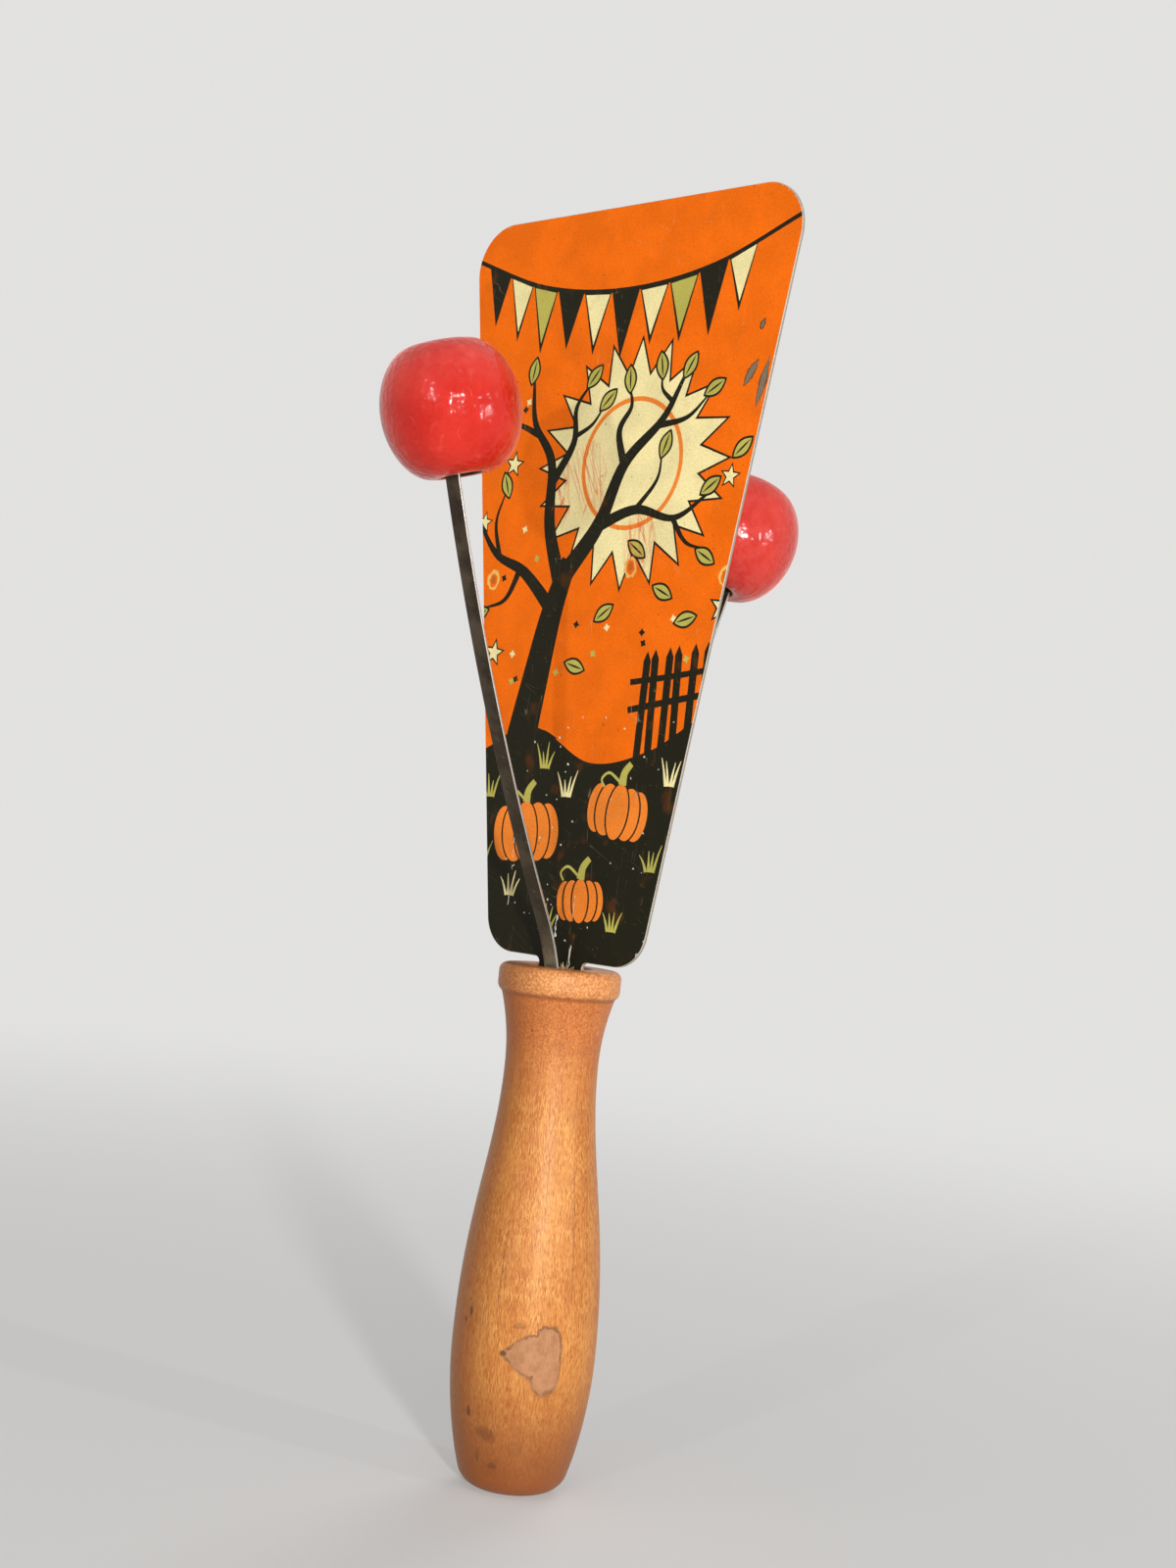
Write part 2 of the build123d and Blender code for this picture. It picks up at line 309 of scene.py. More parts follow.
hairlines, given = new_effect("hairlines", Across=2.0, Along=0.06, Fineness=0.012, Cover=0.5)
field = noise(hairlines, drawn_out(hairlines, given), 1.0, 0.0)
away = math_node(hairlines, "ABSOLUTE", minus(hairlines, field, 0.5))
line = ramp(hairlines, away, 0.0, given["Fineness"], 1.0, 0.0)
patchy = noise(hairlines, given["Place"], 0.22, 2.0)
edge = minus(hairlines, 0.85, given["Cover"])
full = minus(hairlines, 1.0, given["Cover"])
shown = ramp(hairlines, patchy, edge, full)
add(hairlines, "NodeGroupOutput", inputs={"Mask": times(hairlines, line, shown)})
print("shared effects:", streaks.name, specks.name, hairlines.name)

# %% [markdown]
# Every finish starts alike: a material, its shader, and the place on the piece. Object coordinates are in
# metres, but grain and scratches are easier to think of in millimetres, so the place is scaled once, here.
# Fine relief is too shallow to model, a few hundredths of a millimetre, so it is bump.

# %% Starting and ending a finish
def effect(tree, group, place, **values):
    return add(tree, "ShaderNodeGroup", {"node_tree": group}, {"Place": place, **values}).outputs[0]


def start_finish(name):
    """A new material with its shader, and the place on the piece in millimetres."""
    material = bpy.data.materials.new(name)
    material.use_nodes = True
    tree = material.node_tree
    here = add(tree, "ShaderNodeTexCoord").outputs["Object"]
    return material, tree, tree.nodes["Principled BSDF"], vector_times(tree, here, 1 / MM)


def raise_surface(tree, shader, height, depth):
    """Bump of a given depth in millimetres."""
    bump = add(tree, "ShaderNodeBump", inputs={"Strength": 1.0, "Distance": depth * MM, "Height": height})
    tree.links.new(bump.outputs[0], shader.inputs["Normal"])


print("finishes can be made")

# %% [markdown]
# The handle was turned from a fine-grained hardwood, lacquered amber, and then gripped for years. Its
# figure is fine short grain along the axis, golden in some bands. Shade is painted into the colour: darker
# round one side, towards the butt and in the crease under the rim, where there is some dirt too. The rim
# is painted paler as a painted highlight. The neck is redder and the rim pebbly, and a spill has lifted the
# lacquer off one patch of the belly. Marks are placed by their angle round the axis and their height, both
# read from the piece's own coordinates. A picture of wood wrapped round the handle would stretch at the
# neck. Noise that fills space is cut by the surface, as real wood is by the gouge.

# %% Lacquered wood: grain
lacquered_wood, tree, shader, place = start_finish("lacquered_wood")
parts = parts_of(tree, place)
height = parts["Z"]
grain = effect(tree, streaks, place, Across=4.6, Along=0.85, Detail=2.0)
fibres = effect(tree, streaks, place, Across=1.3, Along=0.07, Detail=4.0)
bands = effect(tree, streaks, place, Across=0.20, Along=0.03, Detail=2.0)
curl = effect(tree, streaks, place, Across=0.22, Along=0.34, Detail=3.0)
pebbles = noise(tree, place, scale=2.7, detail=2.0)
figure = plus(tree, times(tree, fibres, 0.5), times(tree, bands, 0.5))
amber = mix_colour(tree, ramp(tree, figure, 0.38, 0.62), rgb(0.44, 0.138, 0.026), rgb(0.56, 0.230, 0.058))
golden = times(tree, ramp(tree, grain, 0.46, 0.62), ramp(tree, curl, 0.34, 0.62, 0.30, 0.80))
amber = mix_colour(tree, golden, amber, rgb(0.69, 0.382, 0.125))
pores = ramp(tree, grain, 0.44, 0.32)
amber = stain(tree, amber, pores, 0.70, rgb(0.27, 0.073, 0.015))
print("grain made with", len(tree.nodes), "nodes")

# %% Lacquered wood: neck, painted highlight on the rim, painted shade at the butt, one side and the crease
rim = ramp(tree, height, 81.2, 81.9)
neck = times(tree, ramp(tree, height, 60.0, 77.0), minus(tree, 1.0, rim))
pebbly = ramp(tree, pebbles, 0.36, 0.64)
neck_red = mix_colour(tree, pebbly, rgb(0.36, 0.092, 0.026), rgb(0.60, 0.205, 0.070))
amber = stain(tree, amber, neck, 0.72, neck_red)
# Painted highlight: the rim is painted paler, as if light catches its rounded top.
pebbly = ramp(tree, pebbles, 0.38, 0.64)
rim_painted_highlight = mix_colour(tree, pebbly, rgb(0.50, 0.180, 0.060), rgb(0.78, 0.405, 0.175))
amber = stain(tree, amber, rim, 0.82, rim_painted_highlight)
# Painted shade: the colour darkens towards the butt.
low = ramp(tree, height, 25.0, 2.0)
amber = stain(tree, amber, low, 0.90, rgb(0.215, 0.062, 0.019))
to_front = minus(tree, 0.0, parts["Y"])
angle = math_node(tree, "ARCTAN2", parts["X"], to_front)
# Painted shade: the side turned away from the lamps is darkened, with the bands breaking its edge.
towards_lamps = math_node(tree, "COSINE", minus(tree, angle, math.radians(75)))
painted_shade_round_side = ramp(tree, plus(tree, towards_lamps, times(tree, bands, 0.3)), 0.95, 0.10)
amber = stain(tree, amber, painted_shade_round_side, 0.62, rgb(0.23, 0.060, 0.007))
soil = effect(tree, specks, place, Size=3.4, Share=0.24, Softness=0.22)
amber = stain(tree, amber, soil, 0.24, rgb(0.30, 0.085, 0.026))
# Painted shade and dirt: a dark line is painted in the crease under the rim.
shade_and_dirt_in_crease = plus(tree, height, times(tree, pebbles, 0.9))
shade_and_dirt_in_crease = times(tree, ramp(tree, shade_and_dirt_in_crease, 81.1, 81.7), ramp(tree, shade_and_dirt_in_crease, 81.8, 82.3, 1.0, 0.0))
amber = stain(tree, amber, shade_and_dirt_in_crease, 0.55, rgb(0.20, 0.055, 0.020))
print("wood made with", len(tree.nodes), "nodes so far")

# %% Lacquered wood: spill
wander = noise(tree, place, scale=0.7, detail=3.0)
wobble = times(tree, minus(tree, wander, 0.5), 2.0)
GRIP_RADIUS = 11.9  # turns an angle round the belly into a distance


def blot(around, at_height, wide, tall, power=2.0):
    """How far outside a mark a place is, below 1 inside. Power 2 gives an oval, power 1 a pointed shape."""
    across = times(tree, minus(tree, angle, math.radians(around)), GRIP_RADIUS / wide)
    above = math_node(tree, "DIVIDE", minus(tree, height, at_height), tall)
    first = math_node(tree, "POWER", math_node(tree, "ABSOLUTE", across), power)
    second = math_node(tree, "POWER", math_node(tree, "ABSOLUTE", above), power)
    return math_node(tree, "POWER", plus(tree, first, second), 1.0 / power)


body = blot(62.0, 23.5, wide=2.6, tall=5.7, power=2.7)
tongue = blot(50.5, 24.1, wide=5.0, tall=3.7, power=1.25)
spill = plus(tree, math_node(tree, "MINIMUM", body, tongue), times(tree, wobble, 0.24))
lifted = ramp(tree, spill, 0.93, 1.02, 1.0, 0.0)
shore = times(tree, ramp(tree, spill, 0.86, 0.97), ramp(tree, spill, 0.98, 1.08, 1.0, 0.0))
shore = times(tree, shore, ramp(tree, wander, 0.34, 0.60, 0.15, 1.0))
greyed = mix_colour(tree, ramp(tree, wander, 0.3, 0.7), rgb(0.30, 0.148, 0.085), rgb(0.41, 0.215, 0.132))
amber = stain(tree, amber, lifted, 0.82, greyed)
amber = stain(tree, amber, shore, 0.80, rgb(0.13, 0.050, 0.022))
print("spill made, with", len(tree.nodes), "nodes so far")

# %% Lacquered wood: marks and gloss
marks = []
# Angle, height, half width, half height, strength
for around, at_height, wide, tall, strength in (
    (-6.5, 29.6, 0.42, 1.15, 0.9),
    (-12.4, 28.1, 0.32, 0.50, 0.85),
    (-9.0, 31.4, 0.20, 0.45, 0.8),
    (-0.8, 13.6, 0.42, 1.0, 0.8),
    (17.0, 10.4, 2.1, 1.4, 0.42),
    (24.0, 5.4, 1.5, 0.6, 0.5),
    (8.0, 6.6, 0.5, 1.2, 0.45),
    (38.0, 29.0, 0.5, 0.5, 0.35),
    (44.0, 9.0, 1.8, 1.6, 0.14),
    (19.0, 36.0, 0.16, 8.0, 0.50),
    (51.0, 50.0, 0.13, 9.0, 0.34),
    (80.0, 44.0, 0.15, 13.0, 0.42),
    (27.5, 24.1, 0.6, 0.45, 0.85),
    (38.0, 28.6, 1.0, 0.35, 0.4),
    (16.5, 75.6, 0.26, 0.28, 0.8),
    (150.0, 31.0, 0.5, 1.1, 0.8),
    (-120.0, 18.0, 0.8, 0.6, 0.4),
    (-95.0, 44.0, 0.13, 12.0, 0.35),
):
    away = plus(tree, blot(around, at_height, wide, tall), times(tree, wobble, 0.8))
    marks.append(ramp(tree, away, 0.55, 1.15, strength, 0.0))
amber = mix_colour(tree, largest(tree, marks), amber, rgb(0.070, 0.030, 0.016))
gloss = plus(tree, ramp(tree, curl, 0.3, 0.7, 0.38, 0.46), times(tree, lifted, 0.16))
wire(tree, shader, {
    "Base Color": amber,
    "Roughness": gloss,
    "Specular IOR Level": 0.55,
    "Specular Tint": rgb(1.0, 0.80, 0.50),
    "Coat Weight": 0.35,
    "Coat Roughness": 0.42,
    "Coat IOR": 1.3,
    "Coat Tint": rgb(1.0, 0.72, 0.38),
})
grain_relief = minus(tree, grain, times(tree, lifted, 0.5))
ends = largest(tree, [rim, times(tree, neck, 0.7)])
pebbled = times(tree, times(tree, pebbles, ends), 1.8)
raise_surface(tree, shader, plus(tree, grain_relief, pebbled), depth=0.075)
print("lacquered wood has", len(tree.nodes), "nodes")

# %% [markdown]
# A lathe makes any round piece from one outline, so one geometry tree turns both the handle and the balls.
# It lays out a flat grid with a column for each facet and a row for each outline point, then bends it
# round the axis. A Screw modifier would do that too, but a tree can also store how far each point is from
# the axis, which the enamel needs. Real turning is never perfect, so the surface may dip in by a few
# hundredths.

# %% Geometry nodes: turned on a lathe
GEOMETRY = "NodeSocketGeometry"
WHOLE_NUMBER = "NodeSocketInt"
FINISH = ("Finish", "NodeSocketMaterial", None)
inputs = [
    ("Outline", GEOMETRY, None),
    ("Facets", WHOLE_NUMBER, 128),
    ("Unevenness", NUMBER, 0.0),
    ("Seed", NUMBER, 0.0),
    FINISH,
]
lathe, given = new_tree("GeometryNodeTree", "turned_on_a_lathe", inputs, ("Turned", GEOMETRY))
inputs = {"Geometry": given["Outline"]}
size = add(lathe, "GeometryNodeAttributeDomainSize", {"component": "MESH"}, inputs).outputs
rows = size["Point Count"]
columns = plus(lathe, given["Facets"], 1.0)
grid = add(lathe, "GeometryNodeMeshGrid", inputs={"Vertices X": columns, "Vertices Y": rows}).outputs[0]
number = add(lathe, "GeometryNodeInputIndex").outputs[0]
row = math_node(lathe, "MODULO", number, rows)
column = math_node(lathe, "FLOOR", math_node(lathe, "DIVIDE", number, rows))
around = times(lathe, math_node(lathe, "DIVIDE", column, given["Facets"]), math.tau)
here = add(lathe, "GeometryNodeInputPosition").outputs[0]
picked = add(
    lathe,
    "GeometryNodeSampleIndex",
    {"data_type": "FLOAT_VECTOR", "domain": "POINT"},
    {"Geometry": given["Outline"], "Value": here, "Index": row},
).outputs[0]
outline = parts_of(lathe, picked)
bent_x = times(lathe, outline["X"], math_node(lathe, "COSINE", around))
bent_y = times(lathe, outline["X"], math_node(lathe, "SINE", around))
bent = vector_of(lathe, bent_x, bent_y, outline["Z"])
wall = add(lathe, "GeometryNodeSetPosition", inputs={"Geometry": grid, "Position": bent}).outputs[0]


def store(tree, geometry, domain, name, value):
    """Keep a value on each point or face, under a name that a shader can ask for."""
    settings = {"data_type": "FLOAT", "domain": domain}
    inputs = {"Geometry": geometry, "Name": name, "Value": value}
    return add(tree, "GeometryNodeStoreNamedAttribute", settings, inputs).outputs[0]


wall = store(lathe, wall, "POINT", "from_axis", math_node(lathe, "DIVIDE", outline["X"], MM))
wall = store(lathe, wall, "POINT", "along_axis", math_node(lathe, "DIVIDE", outline["Z"], MM))
print("lathe tree bends its grid with", len(lathe.nodes), "nodes")

# %% [markdown]
# The grid's first and last columns now lie on each other, so they are merged. Shading is smooth, apart from
# edges that turn sharply, such as the corner at the bottom of the handle's socket. Each tree ends the same
# way, so that its result is a real mesh with its finish on it.

# %% Geometry nodes: closing and shading what was turned
SEAM = 0.001 * MM
wall = add(lathe, "GeometryNodeMergeByDistance", inputs={"Geometry": wall, "Distance": SEAM}).outputs[0]
lumps = add(
    lathe,
    "ShaderNodeTexNoise",
    {"noise_dimensions": "4D"},
    {"Vector": here, "W": given["Seed"], "Scale": 170.0, "Detail": 1.0},
).outputs[0]
dip = times(lathe, times(lathe, lumps, given["Unevenness"]), -1.0)
outwards = add(lathe, "GeometryNodeInputNormal").outputs[0]
shift = vector_times(lathe, outwards, dip)
wall = add(lathe, "GeometryNodeSetPosition", inputs={"Geometry": wall, "Offset": shift}).outputs[0]


def smooth_but_for_corners(tree, geometry, corner):
    """Smooth shading, with the edges that turn by more than an angle left sharp."""
    inputs = {"Geometry": geometry, "Shade Smooth": True}
    soft = add(tree, "GeometryNodeSetShadeSmooth", {"domain": "FACE"}, inputs)
    bend = add(tree, "GeometryNodeInputMeshEdgeAngle").outputs["Unsigned Angle"]
    sharp = math_node(tree, "GREATER_THAN", bend, math.radians(corner))
    inputs = {"Geometry": soft.outputs[0], "Selection": sharp, "Shade Smooth": False}
    return add(tree, "GeometryNodeSetShadeSmooth", {"domain": "EDGE"}, inputs).outputs[0]


def end_tree(tree, geometry, finish, output):
    real = add(tree, "GeometryNodeRealizeInstances", inputs={"Geometry": geometry}).outputs[0]
    painted = add(tree, "GeometryNodeSetMaterial", inputs={"Geometry": real, "Material": finish}).outputs[0]
    add(tree, "NodeGroupOutput", inputs={output: painted})


end_tree(lathe, smooth_but_for_corners(lathe, wall, corner=38), given["Finish"], "Turned")
print("lathe tree has", len(lathe.nodes), "nodes")

# %% [markdown]
# A geometry tree is a live modifier. The finished piece has to be a plain mesh, so this helper runs the
# tree on a host mesh, keeps the result, closes its seams, turns its faces outwards and drops the host.

# %% From a tree to a plain mesh
SAME_POINT = 0.0001 * MM


def polyline(name, points):
    mesh = bpy.data.meshes.new(name)
    mesh.from_pydata([Vector(p) * MM for p in points], [(k, k + 1) for k in range(len(points) - 1)], [])
    return mesh


def as_plain_mesh(thing):
    """What an object's modifiers make of it."""
    graph = bpy.context.evaluated_depsgraph_get()
    live = thing.evaluated_get(graph)
    return bpy.data.meshes.new_from_object(live, preserve_all_data_layers=True, depsgraph=graph)


def run_tree(name, host_mesh, tree, **values):
    host = new_object(name + "_host", host_mesh)
    live = host.modifiers.new("tree", "NODES")
    live.node_group = tree
    for item in tree.interface.items_tree:
        if item.in_out == "INPUT" and item.name in values:
            live[item.identifier] = values[item.name]
    made = as_plain_mesh(host)
    made.name = name
    bpy.data.objects.remove(host)
    work = bmesh.new()
    work.from_mesh(made)
    bmesh.ops.remove_doubles(work, verts=work.verts, dist=SAME_POINT)
    bmesh.ops.recalc_face_normals(work, faces=work.faces)
    work.to_mesh(made)
    work.free()
    return new_object(name, made)


print("a tree's result can be kept")

# %% [markdown]
# An outline is drawn from a few points, as on a maker's drawing: a Bezier curve for a swelling line, and
# straight lines whose corners are rounded by a radius. A list of many points would hide the sizes.

# %% Lines for outlines
def curve_points(controls, steps):
    """Points along a Bezier curve of any degree."""
    found = []
    for k in range(steps + 1):
        share = k / steps
        level = [Vector(p) for p in controls]
        while len(level) > 1:
            level = [a.lerp(b, share) for a, b in zip(level, level[1:])]
        found.append(level[0])
    return found


def rounded(points, radii, steps=8):
    """A line through points whose corners are rounded by each corner's radius."""
    line = [Vector(points[0])]
    for before, corner, after, radius in zip(points, points[1:], points[2:], radii[1:]):
        corner = Vector(corner)
        if radius == 0:
            line.append(corner)
            continue
        one = (Vector(before) - corner).normalized()
        two = (Vector(after) - corner).normalized()
        half = one.angle(two) / 2
        reach = radius / math.tan(half)
        centre = corner + (one + two).normalized() * (radius / math.sin(half))
        start = corner + one * reach - centre
        sweep = math.pi - 2 * half
        sign = 1 if one.cross(two) < 0 else -1
        for k in range(steps + 1):
            spin = Matrix.Rotation(sign * sweep * k / steps, 2)
            line.append(centre + spin @ start)
    line.append(Vector(points[-1]))
    return line


print("outlines can be drawn")

# %% [markdown]
# The handle's outline goes from the middle of the butt up the belly, in at the neck, out to the collar,
# over the rim, and down inside the socket. The same sizes made the solid model, in millimetres.

# %% Handle
BUTT, BELLY, BELLY_HEIGHT, NECK, NECK_HEIGHT = 8.3, 11.95, 23.0, 7.75, 69.8
COLLAR, CREASE, RIM, RIM_UNDERSIDE, HANDLE_TOP = 9.45, 81.3, 10.2, 81.9, 86.0
SOCKET, SOCKET_FLOOR, MOUTH_CHAMFER = 5.0, 58.0, 0.4
SWELL, HOLLOW, FLARE_STEPS = 0.47, 0.33, 24
BUTT_ROUND, BUTT_ENDS, UNDER_ROUND, RIM_ROUND, MOUTH_ROUND = 4.0, 5.0, 1.7, 1.3, 0.15
rise = NECK_HEIGHT - BELLY_HEIGHT
lower = curve_points([(BUTT, 0), (BELLY, BELLY_HEIGHT / 2), (BELLY, BELLY_HEIGHT)], steps=40)
swell = (BELLY, BELLY_HEIGHT + SWELL * rise)
hollow = (NECK, NECK_HEIGHT - HOLLOW * rise)
upper = curve_points([(BELLY, BELLY_HEIGHT), swell, hollow, (NECK, NECK_HEIGHT)], steps=60)
flare_rise = CREASE - NECK_HEIGHT
flare_out = COLLAR - NECK
flare_radius = (flare_rise**2 + flare_out**2) / (2 * flare_out)
flare = []
for k in range(FLARE_STEPS + 1):
    up_flare = flare_rise * k / FLARE_STEPS
    out = NECK + flare_radius - math.sqrt(flare_radius**2 - up_flare**2)
    flare.append(Vector((out, NECK_HEIGHT + up_flare)))
butt_start = next(k for k, p in enumerate(lower) if p.y > BUTT_ENDS)
butt_line = rounded([(0, 0), (BUTT, 0), lower[butt_start]], [0, BUTT_ROUND, 0], steps=16)
rim_line = rounded(
    [
        flare[-1],
        (RIM, RIM_UNDERSIDE),
        (RIM, HANDLE_TOP),
        (SOCKET + MOUTH_CHAMFER, HANDLE_TOP),
        (SOCKET, HANDLE_TOP - MOUTH_CHAMFER),
        (SOCKET, SOCKET_FLOOR),
        (0, SOCKET_FLOOR),
    ],
    [0, UNDER_ROUND, RIM_ROUND, MOUTH_ROUND, MOUTH_ROUND, 0, 0],
)
outline = butt_line + lower[butt_start + 1 :] + upper[1:] + flare[1:-1] + rim_line
points = [(p.x, 0, p.y) for p in outline]
outline_mesh = polyline("handle_outline", points)
handle = run_tree("turned_handle", outline_mesh, lathe, Facets=144, Finish=lacquered_wood)
print("handle turned from", len(points), "outline points")

# %% [markdown]
# The nail's head lies in a pocket in the back of the neck. A lathe can't make a hole that is off its axis,
# so a plain cylinder is taken away from the handle, and what is left becomes the handle's mesh.

# %% Pocket for the nail's head
POCKET_RADIUS, POCKET_FLOOR, POCKET_LONG = 1.65 * MM, 6.95 * MM, 3.0 * MM
pocket_mesh = bpy.data.meshes.new("nail_pocket")
work = bmesh.new()
radii = {"radius1": POCKET_RADIUS, "radius2": POCKET_RADIUS}
bmesh.ops.create_cone(work, cap_ends=True, segments=40, depth=POCKET_LONG, **radii)
bmesh.ops.rotate(work, verts=work.verts, matrix=Matrix.Rotation(math.pi / 2, 3, "X"))
bmesh.ops.translate(work, verts=work.verts, vec=(0, POCKET_FLOOR + POCKET_LONG / 2, NECK_HEIGHT * MM))
work.to_mesh(pocket_mesh)
work.free()
pocket = new_object("nail_pocket", pocket_mesh)
cut = handle.modifiers.new("pocket", "BOOLEAN")
cut.object = pocket
cut.operation = "DIFFERENCE"
bored = as_plain_mesh(handle)
handle.modifiers.clear()
handle.data = bored
bpy.data.objects.remove(pocket)
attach(handle, "handle_and_plate")
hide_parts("handle")
print("handle has", len(handle.data.polygons), "faces")

# %% [markdown]
# The plate is a sheet of tin, printed flat before it was cut, so its inks end in crisp edges. An image is
# not needed for that: the inks are cut into the sheet's own faces as polygons, and each face carries its
# ink as a colour attribute. The shader then adds what age did. Unevenness multiplies the ink, so that
# black stays black, and the red scribble is enamel that the ball has left where it beats on the tin.

# %% Printed tin: ink and scratches
def leaning(tree, place, angle):
    """The place, turned in the plate's plane, so that a pattern on it leans."""
    inputs = {"Vector": place, "Rotation": (0.0, angle, 0.0)}
    return add(tree, "ShaderNodeMapping", inputs=inputs).outputs[0]


printed_tin, tree, shader, place = start_finish("printed_tin")
ink = add(tree, "ShaderNodeVertexColor", {"layer_name": "ink"}).outputs
bare = ink["Alpha"]
blotches = noise(tree, place, scale=0.13, detail=5.0)
fine = noise(tree, place, scale=3.0, detail=3.0)
uneven = times(tree, ramp(tree, blotches, 0.32, 0.68, 0.90, 1.04), ramp(tree, fine, 0.3, 0.7, 0.90, 1.05))
colour = vector_times(tree, ink["Color"], uneven)
scratches = effect(tree, hairlines, place, Across=0.9, Along=0.05, Fineness=0.006, Cover=0.36)
sideways = leaning(tree, place, 1.1)
cross_scratches = effect(tree, hairlines, sideways, Across=0.7, Along=0.06, Fineness=0.005, Cover=0.33)
scuffed = times(tree, largest(tree, [scratches, cross_scratches]), 0.26)
colour = mix_colour(tree, scuffed, colour, rgb(0.72, 0.50, 0.28))
dust = effect(tree, specks, place, Size=0.34, Share=0.012, Softness=0.03)
colour = stain(tree, colour, dust, 0.45, rgb(0.74, 0.60, 0.42))
soot = effect(tree, specks, place, Size=0.7, Share=0.022, Softness=0.04)
colour = stain(tree, colour, soot, 0.55, rgb(0.11, 0.045, 0.02))
tarnish = effect(tree, specks, place, Size=4.5, Share=0.16, Softness=0.16)
colour = stain(tree, colour, tarnish, 0.14, rgb(0.36, 0.09, 0.012))
print("printed tin has", len(tree.nodes), "nodes so far")

# %% Printed tin: red rubs, shine and dents
parts = parts_of(tree, place)


def off_centre(value, centre, reach):
    """How far a value is from a centre, as a share of a reach, squared."""
    return math_node(tree, "POWER", math_node(tree, "DIVIDE", minus(tree, value, centre), reach), 2.0)


scribble = []
for lean, across in ((0.16, 1.5), (-0.22, 1.2), (0.45, 0.9)):
    leaned = leaning(tree, place, lean)
    scribble.append(effect(tree, hairlines, leaned, Across=across, Along=0.05, Fineness=0.035, Cover=0.75))
rubs = []
for at_x, at_z, wide, tall in ((-4.6, 168.0, 5.0, 7.5), (-10.5, 166.5, 4.2, 7.0), (8.5, 157.0, 4.0, 6.5)):
    away = plus(tree, off_centre(parts["X"], at_x, wide), off_centre(parts["Z"], at_z, tall))
    rubs.append(ramp(tree, away, 0.25, 1.1, 1.0, 0.0))
scribbled = plus(tree, times(tree, largest(tree, scribble), 0.7), 0.06)
ink_red = add(tree, "ShaderNodeSeparateColor", inputs={0: ink["Color"]}).outputs["Red"]
rubbed = times(tree, times(tree, largest(tree, rubs), scribbled), ramp(tree, ink_red, 0.1, 0.6))
colour = mix_colour(tree, rubbed, colour, rgb(0.66, 0.085, 0.022))
roughened = times(tree, largest(tree, [scuffed, bare]), 0.2)
wire(tree, shader, {
    "Base Color": colour,
    "Roughness": plus(tree, ramp(tree, blotches, 0.3, 0.7, 0.46, 0.58), roughened),
    "Metallic": times(tree, bare, 0.4),
    "Specular IOR Level": 0.13,
})
dents = noise(tree, place, scale=0.07, detail=1.0)
skin = plus(tree, times(tree, fine, 0.5), times(tree, dents, 9.0))
raise_surface(tree, shader, minus(tree, skin, scuffed), depth=0.012)
print("printed tin has", len(tree.nodes), "nodes")

# %% [markdown]
# The sheet's outline is half a trapezoid with round corners and a tang below it, mirrored. The corners of
# the outline are rounded with the same helper as the handle's rim, finely enough to look cut, not faceted.

# %% Sheet outline
SHEET_BOTTOM, SHEET_TALL, SHEET_HALF = 87.2, 127.0, 0.3
LOW_CORNER, HIGH_CORNER, LOW_ROUND, HIGH_ROUND, EDGE_BREAK = 17.25, 37.696, 6.5, 8.0, 0.1
TANG_HALF, TANG_DEEP, TANG_CHAMFER, TANG_ROUND = 4.94, 28.2, 1.5, 1.0
half_corners = [
    ((0, -TANG_DEEP), 0),
    ((TANG_HALF - TANG_CHAMFER, -TANG_DEEP), 0),
    ((TANG_HALF, TANG_CHAMFER - TANG_DEEP), 0),
    ((TANG_HALF, 0), TANG_ROUND),
    ((LOW_CORNER, 0), LOW_ROUND),
    ((HIGH_CORNER, SHEET_TALL), HIGH_ROUND),
    ((0, SHEET_TALL), 0),
]
half = rounded(*zip(*half_corners), steps=28)
sheet_loop = half + [Vector((-p.x, p.y)) for p in reversed(half[1:-1])]


def inset(loop, gap):
    moved = []
    for before, here, after in zip(loop[-1:] + loop[:-1], loop, loop[1:] + loop[:1]):
        along = ((here - before).normalized() + (after - here).normalized()).normalized()
        moved.append(here + Vector((-along.y, along.x)) * gap)
    return moved


face_loop = inset(sheet_loop, EDGE_BREAK)
print("sheet outline:", len(sheet_loop), "points,", round(2 * max(p.x for p in sheet_loop), 2), "mm wide")

# %% [markdown]
# The print is a harvest-night party scene in the toy's own five inks. Every motif is a plain polygon:
# ovals, stars, leaves and tapered brush strokes. They are listed from the back of the picture to the
# front, so a later one covers an earlier one, just as ink over ink does.

# %% Inks and brush strokes
INKS = {
    "orange": (0.90, 0.156, 0.003),
    "amber": (0.88, 0.235, 0.028),
    "cream": (0.90, 0.785, 0.385),
    "green": (0.50, 0.45, 0.095),
    "black": (0.011, 0.010, 0.003),
}


def flow(points, steps=10):
    """A smooth line through points."""
    points = [Vector(p) for p in points]
    points = [2 * points[0] - points[1]] + points + [2 * points[-1] - points[-2]]
    line = []
    for a, b, c, d in zip(points, points[1:], points[2:], points[3:]):
        for k in range(steps):
            t = k / steps
            bent = 2 * b + (c - a) * t + (2 * a - 5 * b + 4 * c - d) * t**2
            line.append(0.5 * (bent + (3 * b - a - 3 * c + d) * t**3))
    return line + [points[-2]]


def stroke(points, first, last, steps=8):
    """A brush stroke along points, from one width to another."""
    line = flow(points, steps)
    left, right_side = [], []
    for k, here in enumerate(line):
        along = (line[min(k + 1, len(line) - 1)] - line[max(k - 1, 0)]).normalized()
        side = Vector((-along.y, along.x)) * (first + (last - first) * k / (len(line) - 1)) / 2
        left.append(here + side)
        right_side.append(here - side)
    return left + right_side[::-1]


print("inks:", ", ".join(INKS))

# %% Shapes for the print
def placed(shape, u, w, tilt):
    """A shape that was drawn about its middle, tilted and moved to its place."""
    spin = Matrix.Rotation(math.radians(tilt), 2)
    return [Vector((u, w)) + spin @ Vector(p) for p in shape]


